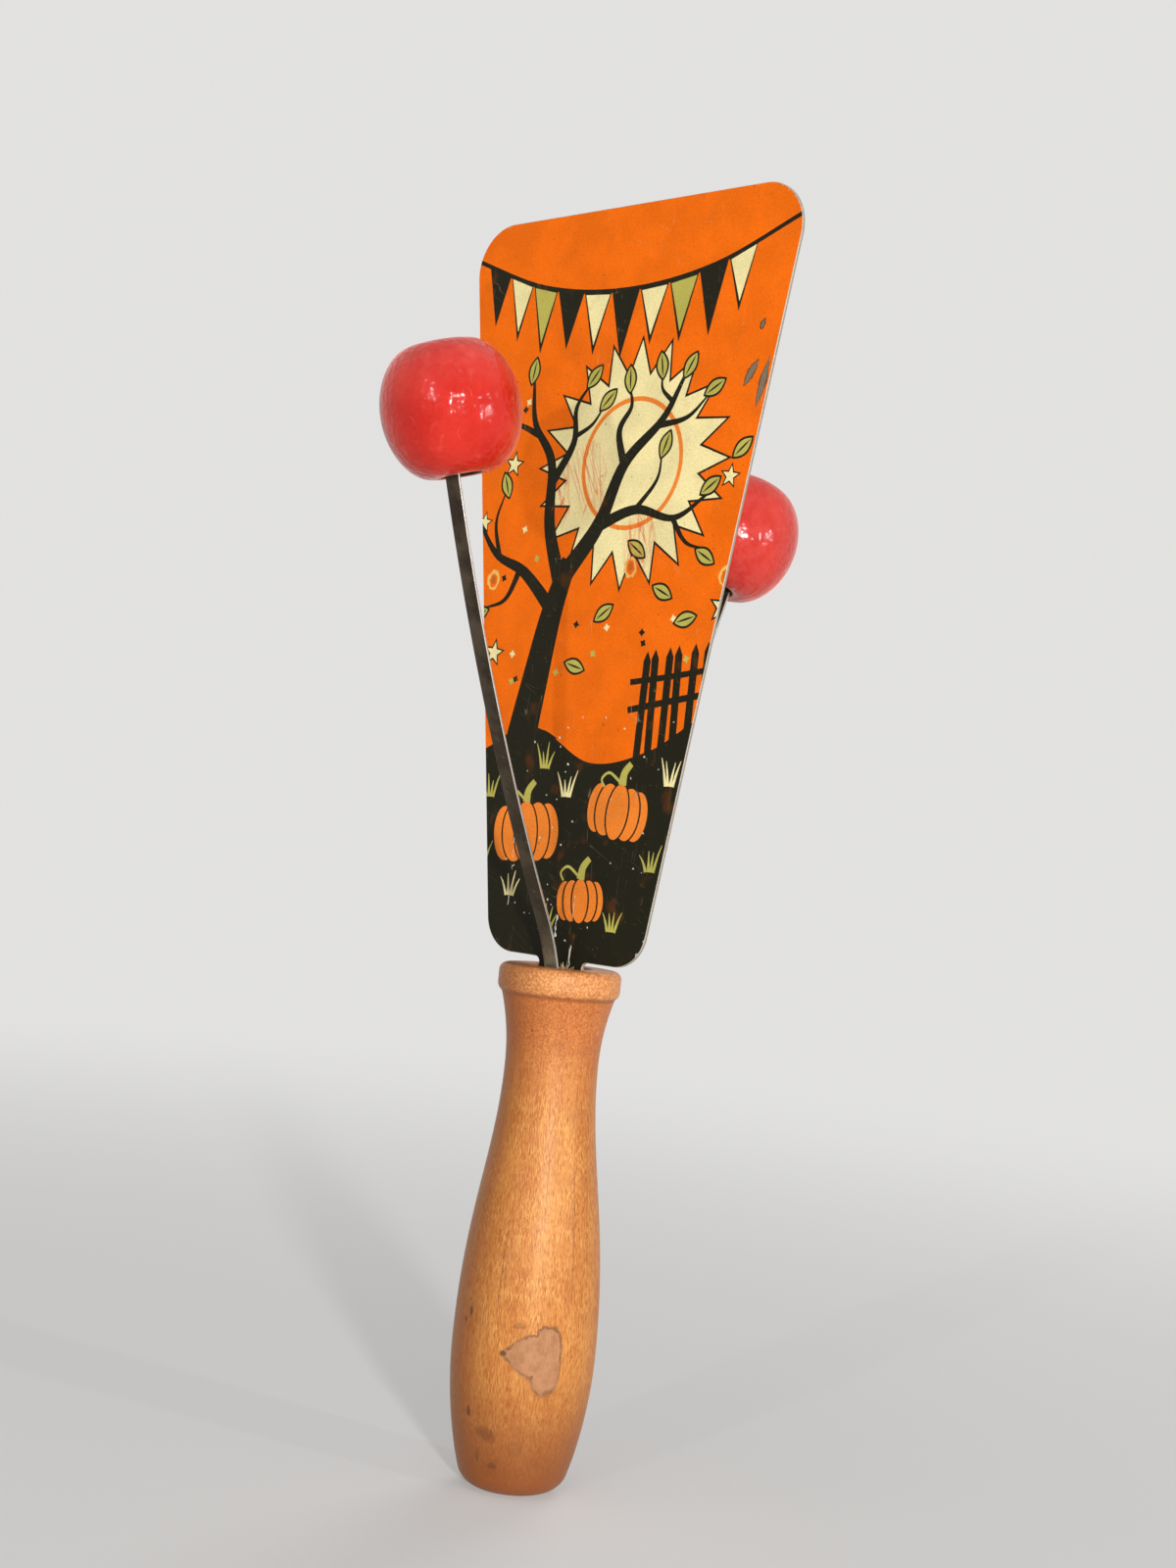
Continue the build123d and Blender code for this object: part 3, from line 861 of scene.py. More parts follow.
def oval(u, w, wide, tall, tilt=0.0, count=28):
    steps = [k * math.tau / count for k in range(count)]
    return placed([(wide * math.cos(a), tall * math.sin(a)) for a in steps], u, w, tilt)


def star(u, w, outer, inner, count, tilt=0.0):
    spots = []
    for k in range(2 * count):
        a = math.radians(tilt) + math.pi * k / count
        reach = outer if k % 2 == 0 else inner
        spots.append(Vector((u + reach * math.sin(a), w + reach * math.cos(a))))
    return spots


LEAF_STEPS = 12


def leaf(u, w, long, wide, tilt):
    side = []
    for k in range(LEAF_STEPS + 1):
        share = k / LEAF_STEPS
        side.append((long * (share - 0.5), wide / 2 * math.sin(math.pi * share) ** 0.85))
    return placed(side + [(x, -y) for x, y in reversed(side[1:-1])], u, w, tilt)


print("shapes: ovals, stars and leaves")

# %% Sky of the print
prints = []


def draw(ink_name, shape):
    prints.append((ink_name, shape))


SUN = (5, 83)
draw("black", star(*SUN, outer=21.6, inner=15.4, count=20))
draw("cream", star(*SUN, outer=20.6, inner=14.6, count=20))
draw("amber", oval(*SUN, 11.2, 11.2, count=48))
draw("cream", oval(*SUN, 10.4, 10.4, count=48))
string = flow([(-36.5, 121), (-19, 114.2), (0, 112), (19, 114.2), (36.5, 121)], steps=12)
for k in range(10):
    here, there = string[4 * k + 2], string[4 * k + 6]
    middle = (here + there) / 2
    shift = Vector((0, -9.6 - 0.8 * (k % 3)))
    flag = ("black", "cream", "green", "black", "cream")[k % 5]
    draw("black", [here + Vector((0.1, 0.3)), there + Vector((-0.1, 0.3)), middle + shift])
    if flag != "black":
        draw(flag, [here.lerp(middle, 0.14), there.lerp(middle, 0.14), middle + shift * 0.83])
draw("black", stroke([(-37.5, 121.6), (-19, 114.8), (0, 112.6), (19, 114.8), (37.5, 121.6)], 0.75, 0.75))
random.seed(12)
for u, w, size in (
    (-27, 98, 2.7), (-22.5, 84, 1.9), (27.5, 59, 2.3), (-28.5, 74, 1.6), (26.5, 80, 1.7), (-23, 51, 2.0),
):
    draw("black", star(u, w, size * 1.32, size * 0.60, 5, 8))
    draw("cream", star(u, w, size, size * 0.42, 5, 8))
for _ in range(46):
    u, w = random.uniform(-33, 33), random.uniform(46, 108)
    from_sun = (Vector((u, w)) - Vector(SUN)).length
    if abs(u) < 15 + 0.13 * w and w < 101 and from_sun > 23:
        draw(random.choice(("black", "cream", "green")), star(u, w, 0.75, 0.42, 4, random.uniform(0, 90)))
print("sky shapes:", len(prints))

# %% Tree and ground of the print
hill = flow([(-44, 35), (-27, 33), (-12, 38.5), (2, 33), (15, 35.5), (29, 42.5), (46, 40)], steps=12)
for k in range(10):
    foot = 11.5 + 2.55 * k
    lean = (0.5, -0.35, 0.2, -0.5, 0.4)[k % 5]
    shoulder = 50.2 + k * 0.35
    point = (foot + 0.75 + lean, 51.8 + k * 0.35)
    picket_top = [(foot + 1.55 + lean, shoulder), point, (foot + lean, shoulder)]
    draw("black", [(foot, 30), (foot + 1.5, 30)] + picket_top)
draw("black", stroke([(9.5, 42.0), (20, 44.0), (38, 47.2)], 1.1, 1.1))
draw("black", stroke([(9.5, 46.6), (20, 48.0), (38, 51.0)], 1.0, 1.0))
draw("black", [(-50, -40)] + [tuple(p) for p in hill] + [(50, -40)])
limbs = [
    ([(-15, 33), (-12.5, 46), (-10, 58), (-7.0, 67)], 7.4, 3.6),
    ([(-15, 36), (-18.5, 35.2), (-22.5, 32.6)], 4.0, 0.8),
    ([(-13, 36), (-9.5, 37), (-6, 36.4)], 3.6, 0.8),
    ([(-7.4, 65), (-1, 73), (3.5, 83), (11, 90), (15.0, 97)], 3.6, 0.7),
    ([(-8.4, 62), (-12.5, 73), (-13.5, 84), (-18.3, 91), (-19.6, 98.6)], 3.2, 0.6),
    ([(-9.5, 58), (-17.5, 65), (-25, 68.5), (-31, 76)], 2.8, 0.5),
    ([(-1.6, 72.5), (7, 75.2), (15.5, 73.6), (22.5, 77.5)], 2.2, 0.5),
    ([(3.4, 82.5), (1.6, 88.5), (3.8, 92.5), (3.2, 95.6)], 1.7, 0.4),
    ([(-13.2, 80), (-8.7, 87), (-8.8, 93), (-6.0, 97)], 1.9, 0.4),
    ([(-16.4, 88.6), (-22.8, 91.0), (-26.6, 89.6)], 1.3, 0.3),
    ([(-18.5, 65.8), (-21.5, 60.4), (-26.6, 58.8)], 1.4, 0.3),
    ([(9.8, 89), (16.2, 90), (20.6, 93.6)], 1.3, 0.3),
    ([(15, 73.8), (18.4, 69.6), (22.6, 68.4)], 1.1, 0.3),
    ([(-8.8, 88), (-4.8, 90), (-2.4, 93)], 1.0, 0.3),
    ([(-24, 68), (-25.6, 73.8), (-24, 79)], 1.1, 0.3),
    ([(12.6, 93), (10.4, 95), (10.0, 97.4)], 0.9, 0.3),
    ([(7, 75.4), (11, 80), (11.6, 84.5)], 1.0, 0.3),
]
for points, first, last in limbs:
    draw("black", stroke(points, first, last))
for u, w, tilt in (
    (16.0, 98.6, 60), (21.6, 94.6, 30), (22.6, 78.6, 35), (22.8, 67.2, -30), (3.0, 97.2, 95),
    (-19.8, 100.2, 80), (-27.8, 88.8, 10), (-31.5, 77.5, 70), (-27.6, 57.8, 20), (-5.2, 98.2, 50),
    (-1.6, 94.0, 45), (-23.8, 80.4, 110), (12.2, 85.8, 70), (9.8, 99.0, 100), (14.5, 61.5, -25),
    (2.0, 58.0, 35), (-3.5, 49.0, -15), (28.5, 84.5, 40), (8.0, 68.6, -35), (20.0, 57.0, 15),
):
    draw("black", leaf(u, w, 5.4, 2.9, tilt))
    draw("green", leaf(u, w, 4.4, 2.1, tilt))
    draw("black", leaf(u, w, 3.9, 0.36, tilt))
print("shapes so far:", len(prints))

# %% Pumpkins and grass of the print
def pumpkin(u, w, wide, tall, tilt):
    draw("black", oval(u, w, wide * 1.06, tall * 1.10, tilt, count=44))
    for offset, share in ((-0.66, 0.34), (0.66, 0.34), (-0.36, 0.36), (0.36, 0.36), (0.0, 0.34)):
        lobe = 0.94 - 0.16 * abs(offset)
        centre = placed([(offset * wide, 0)], u, w, tilt)[0]
        draw("black", oval(centre.x, centre.y, wide * share + 0.35, tall * lobe + 0.3, tilt, count=36))
        draw("amber", oval(centre.x, centre.y, wide * share, tall * lobe, tilt, count=36))
    top = placed([(0, tall * 0.92)], u, w, tilt)[0]
    stem = [top, top + Vector((0.3, 2.0)), top + Vector((1.6, 3.6))]
    draw("black", stroke(stem, 2.7, 2.0))
    draw("green", stroke(stem, 1.7, 1.1))
    tendril = ((-0.4, 0.4), (-3.0, 1.9), (-4.6, 0.8), (-3.9, -0.5))
    draw("green", stroke([top + Vector(p) for p in tendril], 0.5, 0.4))


pumpkin(-11.0, 20.5, wide=7.6, tall=5.6, tilt=6)
pumpkin(9.4, 25.2, wide=6.6, tall=4.9, tilt=-7)
pumpkin(3.0, 10.0, wide=5.2, tall=3.9, tilt=4)
random.seed(31)
for foot_u, foot_w, blade in (
    (-20.5, 26, "green"), (-2.4, 27, "cream"), (17.6, 16, "green"), (-13.5, 9.5, "cream"),
    (20.0, 30, "cream"), (10.5, 5.6, "green"), (-4.0, 4.4, "green"), (-21.0, 14.5, "green"),
    (27.0, 35.0, "green"), (-8.0, 31.5, "green"),
):
    for k in range(4):
        tip_u = foot_u + (k - 1.5) * 1.5 + random.uniform(-0.3, 0.3)
        tip = Vector((tip_u, foot_w + random.uniform(2.6, 4.6)))
        foot = Vector((foot_u + (k - 1.5) * 0.5, foot_w))
        draw(blade, stroke([foot, foot.lerp(tip, 0.5) + Vector((0, 0.3)), tip], 0.62, 0.12, 4))
print("shapes in the print:", len(prints))

# %% [markdown]
# Wear comes on top of the picture. The photograph shows three ringed spots, some chips near the right edge
# that go down to grey metal with a dark border, and white flakes along the crease where the spring is
# seated. These are polygons too, with a little irregularity from a fixed seed. The unseen back has its own.

# %% Colours and shapes of wear
WORN = {
    "pale_ring": (0.84, 0.52, 0.13),
    "spot": (0.52, 0.13, 0.025),
    "chip": (0.25, 0.195, 0.135),
    "chip_border": (0.105, 0.045, 0.018),
    "flake": (0.80, 0.74, 0.64),
    "cut": (0.50, 0.45, 0.38),
    "wall": (0.34, 0.295, 0.24),
}
METAL = {"chip", "cut", "wall"}


def ragged(u, w, wide, tall, tilt, jag, count=18):
    shape = []
    for k in range(count):
        a = k * math.tau / count
        reach = 1 + random.uniform(-jag, jag)
        shape.append((wide * reach * math.cos(a), tall * reach * math.sin(a)))
    return placed(shape, u, w, tilt)


def grown(shape, gap):
    middle = sum(shape, Vector((0, 0))) / len(shape)
    return [p + (p - middle).normalized() * gap for p in shape]


print("colours of wear:", ", ".join(WORN))

# %% Wear of each face
# Along each crease of the spring's seat, and one column of nicks: place across, from and to, width, number
FLAKED = (
    (1.75, 7.6, 10.6, 0.10, 8),
    (2.0, -0.8, 2.4, 0.17, 8),
    (-1.8, 3.8, 7.0, 0.17, 9),
    (-13.5, 8.0, 20.0, 0.07, 9),
)


def wear_of_face(seed, chips, rings):
    random.seed(seed)
    worn = []
    for u, w in rings:
        worn.append(("pale_ring", ragged(u, w, 1.45, 1.75, 0, 0.12)))
        worn.append(("orange", ragged(u, w, 0.95, 1.2, 0, 0.12)))
        worn.append(("spot", ragged(u, w, 0.55, 0.75, 0, 0.2, 12)))
    for u, w, long, wide, tilt in chips:
        smooth = leaf(u, w, long, wide, tilt)
        shape = [p + Vector((random.uniform(-0.1, 0.1), random.uniform(-0.1, 0.1))) for p in smooth]
        worn.append(("chip_border", grown(shape, 0.26)))
        worn.append(("chip", shape))
    for at_u, low, high, wide, count in FLAKED:
        for _ in range(count):
            w = random.uniform(low, high)
            u = at_u + random.uniform(-1.2, 1.2) * wide
            size = (wide * random.uniform(0.4, 1.0), random.uniform(0.2, 0.7))
            worn.append(("flake", ragged(u, w, *size, random.uniform(-12, 12), 0.4, 9)))
    for _ in range(70):
        u, w = random.uniform(-30, 30), random.uniform(1, 42)
        if abs(u) < 14 + 0.16 * w:
            size = (random.uniform(0.07, 0.2), random.uniform(0.07, 0.26))
            worn.append(("flake", ragged(u, w, *size, random.uniform(0, 90), 0.3, 7)))
    for _ in range(34):
        p = face_loop[random.randrange(len(face_loop))]
        if p.y > 2:
            wide = random.uniform(0.08, 0.24)
            tall = wide * random.uniform(1.0, 2.6)
            worn.append(("cut", ragged(p.x, p.y, wide, tall, random.uniform(-12, 12), 0.3, 9)))
    return worn


# A chip is its place, length, width and tilt, and a ring is its place
front_wear = wear_of_face(
    seed=5,
    chips=[(28.7, 96.4, 4.6, 1.1, 58), (31.3, 94.8, 8.0, 1.1, 76), (30.2, 104.1, 1.6, 0.6, 65)],
    rings=[(-24.9, 63.7), (7.1, 65.6), (27.6, 63.9)],
)
back_wear = wear_of_face(
    seed=8,
    chips=[(-28.5, 77.0, 4.0, 1.1, 100), (20.2, 118.5, 1.8, 1.0, 0), (-14.0, 52.0, 2.0, 0.8, 120)],
    rings=[(15.5, 71.0), (-20.4, 99.2)],
)
print("wear shapes:", len(front_wear), "front,", len(back_wear), "back")

# %% [markdown]
# Each face of the sheet is cut into triangles along the edges of all its shapes at once. A constrained
# Delaunay triangulation does this: no edge of a shape is crossed, so each triangle has one ink. The
# spring's seat is pressed into the face by lowering the points between two crease lines. A broken edge and
# a wall then join the two faces along each face's own rim points, so the plate is closed.

# %% Cutting the inks into a face
SEAT_HALF, SEAT_WALL, SEAT_DEEP, SEAT_TOP, SEAT_FADE, FADE_STEPS = 1.56, 0.2, 0.1, 9.0, 3.5, 6
SEAT_BOTTOM, SEAT_MIDDLE, SAME_SPOT = 0.2 - TANG_DEEP, -10.0, 1e-4


def inside(shape, spots):
    """Which of many spots are inside a shape."""
    a = np.array([tuple(p) for p in shape])
    b = np.roll(a, -1, axis=0)
    found = np.zeros(len(spots), bool)
    for (x1, y1), (x2, y2) in zip(a, b):
        if y1 != y2:
            crossed = (y1 > spots[:, 1]) != (y2 > spots[:, 1])
            found ^= crossed & (spots[:, 0] < (x2 - x1) * (spots[:, 1] - y1) / (y2 - y1) + x1)
    return found


def cut_face(shapes):
    """Points, triangles and the name of each triangle's ink."""
    spots, edges = [], []

    def outline_of(shape, closed=True):
        first = len(spots)
        spots.extend(Vector(p) for p in shape)
        count = len(shape)
        edges.extend((first + k, first + (k + 1) % count) for k in range(count if closed else count - 1))

    outline_of(face_loop)
    for _, shape in shapes:
        outline_of(shape)
    levels = [SEAT_TOP + SEAT_FADE * k / FADE_STEPS for k in range(FADE_STEPS + 1)]
    for u in (-SEAT_HALF - SEAT_WALL, -SEAT_HALF, SEAT_HALF, SEAT_HALF + SEAT_WALL):
        outline_of([(u, w) for w in [SEAT_BOTTOM, SEAT_MIDDLE] + levels], closed=False)
    for w in levels:
        outline_of([(-SEAT_HALF - SEAT_WALL, w), (SEAT_HALF + SEAT_WALL, w)], closed=False)
    made = delaunay_2d_cdt(spots, edges, [], 0, SAME_SPOT)
    points = np.array([tuple(p) for p in made[0]])
    triangles = np.array(made[2])
    middles = points[triangles].mean(axis=1)
    kept = inside(face_loop, middles)
    triangles, middles = triangles[kept], middles[kept]
    inks = np.array(["orange"] * len(triangles), dtype=object)
    for name, shape in shapes:
        inks[inside(shape, middles)] = name
    return points, triangles, inks


front_cut = cut_face(prints + front_wear)
mirrored = [(name, [Vector((-Vector(p).x, Vector(p).y)) for p in shape]) for name, shape in prints]
back_cut = cut_face(mirrored + back_wear)
print("triangles:", len(front_cut[1]), "front,", len(back_cut[1]), "back")

# %% Seat of the spring and rim of a face
def seat_depth(u, w):
    across = min(max((SEAT_HALF + SEAT_WALL - abs(u)) / SEAT_WALL, 0.0), 1.0)
    share = min(max((SEAT_TOP + SEAT_FADE - w) / SEAT_FADE, 0.0), 1.0)
    return SEAT_DEEP * across * share * share * (3 - 2 * share)


def along_rim(points, triangles):
    """Each point on a face's rim, by its place along the outline, which is whole at a corner."""
    sides = np.concatenate([triangles[:, ends] for ends in ([0, 1], [1, 2], [2, 0])])
    pairs, uses = np.unique(np.sort(sides, axis=1), axis=0, return_counts=True)
    starts = np.array([tuple(p) for p in face_loop])
    runs = np.roll(starts, -1, axis=0) - starts
    places = {}
    for k in np.unique(pairs[uses == 1]):
        reach = points[k] - starts
        share = np.clip((reach * runs).sum(1) / (runs * runs).sum(1), 0, 1)
        side = np.hypot(*(reach - share[:, None] * runs).T).argmin()
        places[round(float(side + share[side]), 5) % len(starts)] = k
    return places


print("seat is", seat_depth(0, 0), "mm deep at the sheet's foot")

# %% [markdown]
# The triangles of both faces are known by now, so the plate is put together point by point. Each face
# carries its ink's colour, and the colour's alpha says where bare metal shows, which the finish reads.

# %% Printed plate: colour attribute
plate_mesh = bpy.data.meshes.new("printed_plate")
work = bmesh.new()
ink_layer = work.loops.layers.float_color.new("ink")


def paint(face, name):
    tint = WORN.get(name) or INKS[name]
    for loop in face.loops:
        loop[ink_layer] = (*tint, 1.0 if name in METAL else 0.0)


def on_sheet(u, w, y):
    return work.verts.new((u * MM, y * MM, (SHEET_BOTTOM + w) * MM))


print("plate's faces carry", len(INKS) + len(WORN), "colours")

# %% Printed plate: faces, broken edges and wall
rims = []
for side, (points, triangles, inks) in ((-1, front_cut), (1, back_cut)):
    used = sorted(set(triangles.ravel()))
    made = {k: on_sheet(*points[k], side * (SHEET_HALF - seat_depth(*points[k]))) for k in used}
    for corners, name in zip(triangles, inks):
        paint(work.faces.new([made[k] for k in corners]), name)
    rim = []
    for place, k in sorted(along_rim(points, triangles).items()):
        corner, share = int(place), place % 1
        out = sheet_loop[corner].lerp(sheet_loop[(corner + 1) % len(sheet_loop)], share)
        rim.append((place, made[k], on_sheet(out.x, out.y, side * (SHEET_HALF - EDGE_BREAK))))
    rims.append(rim)
    for (_, here, here_out), (_, there, there_out) in zip(rim, rim[1:] + rim[:1]):
        broken_edge = work.faces.new([here, there, there_out, here_out])
        broken_edge.smooth = True
        paint(broken_edge, "cut")
for corner in range(len(sheet_loop)):
    rows = []
    for rim in rims:
        ends = rim + [(float(len(sheet_loop)), *rim[0][1:])]
        rows.append([out for place, _, out in ends if corner <= place <= corner + 1])
    wall = work.faces.new(rows[0] + rows[1][::-1])
    wall.smooth = True
    paint(wall, "wall")
bmesh.ops.recalc_face_normals(work, faces=work.faces)
open_edges = sum(not e.is_manifold for e in work.edges)
work.to_mesh(plate_mesh)
work.free()
plate_mesh.set_sharp_from_angle(angle=math.radians(25))
plate_mesh.materials.append(printed_tin)
plate = new_object("printed_plate", plate_mesh)
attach(plate, "handle_and_plate")
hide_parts("tin_plate")
print("plate has", len(plate_mesh.polygons), "faces and", open_edges, "open edges")

# %% [markdown]
# Each spring is a strip of dull blued steel. Its flat faces have gone brown-grey, its sheared edges are
# rubbed bright, and damp from the wood has left it tan where it leaves the handle. A half-metallic shader
# keeps it dark: a plain mirror-like metal would only show the pale studio.

# %% Spring steel
def stored(tree, name):
    """What a geometry tree has kept under a name."""
    return add(tree, "ShaderNodeAttribute", {"attribute_name": name}).outputs["Fac"]


spring_steel, tree, shader, place = start_finish("spring_steel")
height = parts_of(tree, place)["Z"]
bright = stored(tree, "sheared_edge")
drawn_lines = effect(tree, streaks, place, Across=6.0, Along=0.07, Detail=3.0)
cloudy = noise(tree, place, scale=0.45, detail=5.0)
stains = noise(tree, place, scale=0.17, detail=6.0)
steel = mix_colour(tree, ramp(tree, stains, 0.38, 0.64), rgb(0.029, 0.019, 0.011), rgb(0.084, 0.060, 0.037))
steel = mix_colour(tree, ramp(tree, drawn_lines, 0.45, 0.7, 0.0, 0.3), steel, rgb(0.11, 0.09, 0.072))
lower_half = ramp(tree, plus(tree, height, times(tree, cloudy, 22.0)), 150.0, 112.0)
steel = stain(tree, steel, lower_half, 0.35, rgb(0.062, 0.046, 0.022))
foot = ramp(tree, plus(tree, height, times(tree, cloudy, 12.0)), 99.0, 92.0)
tan = mix_colour(tree, ramp(tree, cloudy, 0.38, 0.62), rgb(0.13, 0.105, 0.066), rgb(0.33, 0.270, 0.185))
steel = stain(tree, steel, foot, 0.75, tan)
pits = effect(tree, specks, place, Size=0.35, Share=0.05, Softness=0.05)
steel = stain(tree, steel, pits, 0.5, rgb(0.20, 0.14, 0.085))
askew = leaning(tree, place, 0.8)
nicks = effect(tree, hairlines, askew, Across=1.3, Along=0.3, Fineness=0.010, Cover=0.42)
nicks = times(tree, nicks, plus(tree, times(tree, lower_half, 0.45), 0.1))
steel = mix_colour(tree, nicks, steel, rgb(0.34, 0.29, 0.22))
steel = stain(tree, steel, bright, 0.88, rgb(0.64, 0.61, 0.56))
metal = minus(tree, ramp(tree, cloudy, 0.4, 0.7, 0.40, 0.58), times(tree, foot, 0.35), clamp=True)
satin = plus(tree, ramp(tree, cloudy, 0.3, 0.7, 0.36, 0.48), times(tree, foot, 0.18))
wire(tree, shader, {
    "Base Color": steel,
    "Metallic": plus(tree, metal, times(tree, bright, 0.4), clamp=True),
    "Roughness": minus(tree, satin, times(tree, bright, 0.12)),
    "Specular IOR Level": 0.18,
})
raise_surface(tree, shader, plus(tree, drawn_lines, times(tree, pits, 0.6)), depth=0.010)
print("spring steel has", len(tree.nodes), "nodes")

# %% [markdown]
# A strip is one section swept along one line, so a geometry tree does it: the line becomes a curve, a
# rounded rectangle runs along it, and the narrow sides are marked so that the steel's shader can find
# them. A curve with a bevel would give the same shape, but no such mark.

# %% Geometry nodes: strip along a line
inputs = [
    ("Line", GEOMETRY, None),
    ("Width", NUMBER, 3.0 * MM),
    ("Thickness", NUMBER, 0.45 * MM),
    ("Edge Round", NUMBER, 0.1 * MM),
    FINISH,
]
sweep, given = new_tree("GeometryNodeTree", "strip_along_a_line", inputs, ("Strip", GEOMETRY))
line = add(sweep, "GeometryNodeMeshToCurve", inputs={"Mesh": given["Line"]}).outputs[0]
inputs = {"Width": given["Width"], "Height": given["Thickness"]}
section = add(sweep, "GeometryNodeCurvePrimitiveQuadrilateral", {"mode": "RECTANGLE"}, inputs).outputs[0]
inputs = {"Curve": section, "Count": 3, "Radius": given["Edge Round"]}
section = add(sweep, "GeometryNodeFilletCurve", {"mode": "POLY"}, inputs).outputs[0]
inputs = {"Curve": line, "Profile Curve": section, "Fill Caps": True}
swept = add(sweep, "GeometryNodeCurveToMesh", inputs=inputs).outputs[0]
facing = parts_of(sweep, add(sweep, "GeometryNodeInputNormal").outputs[0])["X"]
narrow = math_node(sweep, "GREATER_THAN", math_node(sweep, "ABSOLUTE", facing), 0.6)
swept = store(sweep, swept, "FACE", "sheared_edge", narrow)
end_tree(sweep, smooth_but_for_corners(sweep, swept, corner=42), given["Finish"], "Strip")
print("sweep tree has", len(sweep.nodes), "nodes")

# %% [markdown]
# The line of a spring stands straight in the handle, bends outwards at the mouth, bows back a little on its
# way up, and ends straight in its ball. In use the bending is spread along the strip.

# %% Springs
FOOT_OUT, FOOT_LOW, FOOT_MIDDLE, FOOT_HIGH = 0.445, 59.0, 66.0, 73.5
BEND, SPLAY, BOW, IN_BALL = 43.0, math.radians(28.6), 431.0, 13.3
BEND_STEPS, BOW_STEPS, BALL_STEPS = 20, 50, 6


def spring_line(lean):
    line = [Vector((FOOT_OUT, height)) for height in (FOOT_LOW, FOOT_MIDDLE, FOOT_HIGH)]
    centre = Vector((FOOT_OUT + BEND, FOOT_HIGH))
    for k in range(1, BEND_STEPS + 1):
        a = SPLAY * k / BEND_STEPS
        line.append(centre + BEND * Vector((-math.cos(a), math.sin(a))))
    far = line[-1] - BOW * Vector((math.cos(SPLAY), -math.sin(SPLAY)))
    for k in range(1, BOW_STEPS + 1):
        a = SPLAY + (lean - SPLAY) * k / BOW_STEPS
        line.append(far + BOW * Vector((math.cos(a), -math.sin(a))))
    for _ in range(BALL_STEPS):
        line.append(line[-1] + IN_BALL / BALL_STEPS * Vector((math.sin(lean), math.cos(lean))))
    return line


for name, out, lean in (("front", -1, 18.80), ("rear", 1, 19.93)):
    line = [(0, out * p.x, p.y) for p in spring_line(math.radians(lean))]
    strip = run_tree(name + "_spring", polyline(name + "_spring_line", line), sweep, Finish=spring_steel)
    foot = (0, out * FOOT_OUT * MM, FOOT_HIGH * MM)
    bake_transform(strip)
    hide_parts(name + "_spring_strip")
    tip = [round(v, 2) for v in line[-1]]
    print(name, "spring: tip at", tip, "with", len(strip.data.polygons), "faces")

# %% [markdown]
# The balls are barrel-shaped turned beads, dipped in red enamel. The dip left the skin slightly lumpy,
# which breaks up its glints, and turning lines show through. It has kept a waxy bloom, which the shader's
# sheen gives. The rear ball is paler and pinker, and the upper halves are painted pinker as a painted
# highlight of the light from above. Enamel is thin at the edge of the bore, where pink undercoat and wood
# look out, and the inside of the bore is painted dark as painted shade. The lathe tree has stored each
# point's distance from the ball's own axis and its place along it, so rings stay square to a ball that
# leans.

# %% Red enamel: colour
red_enamel, tree, shader, place = start_finish("red_enamel")
from_axis = stored(tree, "from_axis")
along_axis = stored(tree, "along_axis")
clouds = noise(tree, place, scale=0.15, detail=4.0)
lumps = noise(tree, place, scale=1.2, detail=1.0)
sags = noise(tree, place, scale=0.6, detail=1.0)
ring_lines = noise(tree, vector_of(tree, along_axis), scale=2.2, detail=3.0)
red = mix_colour(tree, ramp(tree, clouds, 0.34, 0.68), rgb(0.48, 0.012, 0.005), rgb(0.57, 0.024, 0.012))
red = mix_colour(tree, ramp(tree, ring_lines, 0.5, 0.72, 0.0, 0.22), red, rgb(0.52, 0.020, 0.012))
scuffs = effect(tree, hairlines, place, Across=0.5, Along=0.4, Fineness=0.016, Cover=0.32)
red = stain(tree, red, scuffs, 0.28, rgb(0.86, 0.26, 0.20))
chalky = effect(tree, specks, place, Size=2.4, Share=0.13, Softness=0.14)
red = stain(tree, red, chalky, 0.12, rgb(0.84, 0.22, 0.17))
# Paler, pinker enamel on the rear ball; on the upper halves the pink is a painted highlight of the light
# from above.
rear_ball = ramp(tree, parts_of(tree, place)["Y"], 10.0, 20.0, 0.0, 0.5)
paler_rear_and_painted_top_light = largest(tree, [rear_ball, ramp(tree, along_axis, 0.0, 8.0, 0.0, 0.40)])
red = stain(tree, red, paler_rear_and_painted_top_light, ramp(tree, sags, 0.3, 0.7, 0.5, 1.0), rgb(0.60, 0.075, 0.060))
pits = effect(tree, specks, place, Size=0.6, Share=0.03, Softness=0.04)
red = stain(tree, red, pits, 0.6, rgb(0.28, 0.010, 0.007))
lip = ramp(tree, plus(tree, from_axis, times(tree, sags, 1.6)), 5.5, 4.7)
red = stain(tree, red, lip, 0.70, rgb(0.74, 0.36, 0.29))
# Painted shade: the inside of the bore is painted dark.
painted_shade_in_bore = ramp(tree, from_axis, 3.50, 3.24)
red = mix_colour(tree, painted_shade_in_bore, red, rgb(0.055, 0.022, 0.014))
print("red enamel has", len(tree.nodes), "nodes so far")

# %% Red enamel: gloss and skin
gloss = plus(tree, ramp(tree, clouds, 0.3, 0.7, 0.04, 0.08), times(tree, lip, 0.3))
wire(tree, shader, {
    "Base Color": red,
    "Roughness": plus(tree, gloss, times(tree, chalky, 0.12)),
    "Specular IOR Level": 0.30,
    "Sheen Weight": 0.60,
    "Sheen Roughness": 0.35,
    "Sheen Tint": rgb(1.0, 0.22, 0.17),
})
skin = plus(tree, times(tree, lumps, 1.9), times(tree, sags, 1.2))
skin = plus(tree, skin, times(tree, ring_lines, 0.3))
raise_surface(tree, shader, minus(tree, skin, times(tree, pits, 0.5)), depth=0.075)
print("red enamel has", len(tree.nodes), "nodes")

# %% [markdown]
# A ball's outline is half a barrel from the bore to the widest place, mirrored. Each ball is turned upright
# at the origin, where the lathe tree can measure it, and is then leaned and moved to the end of its spring.

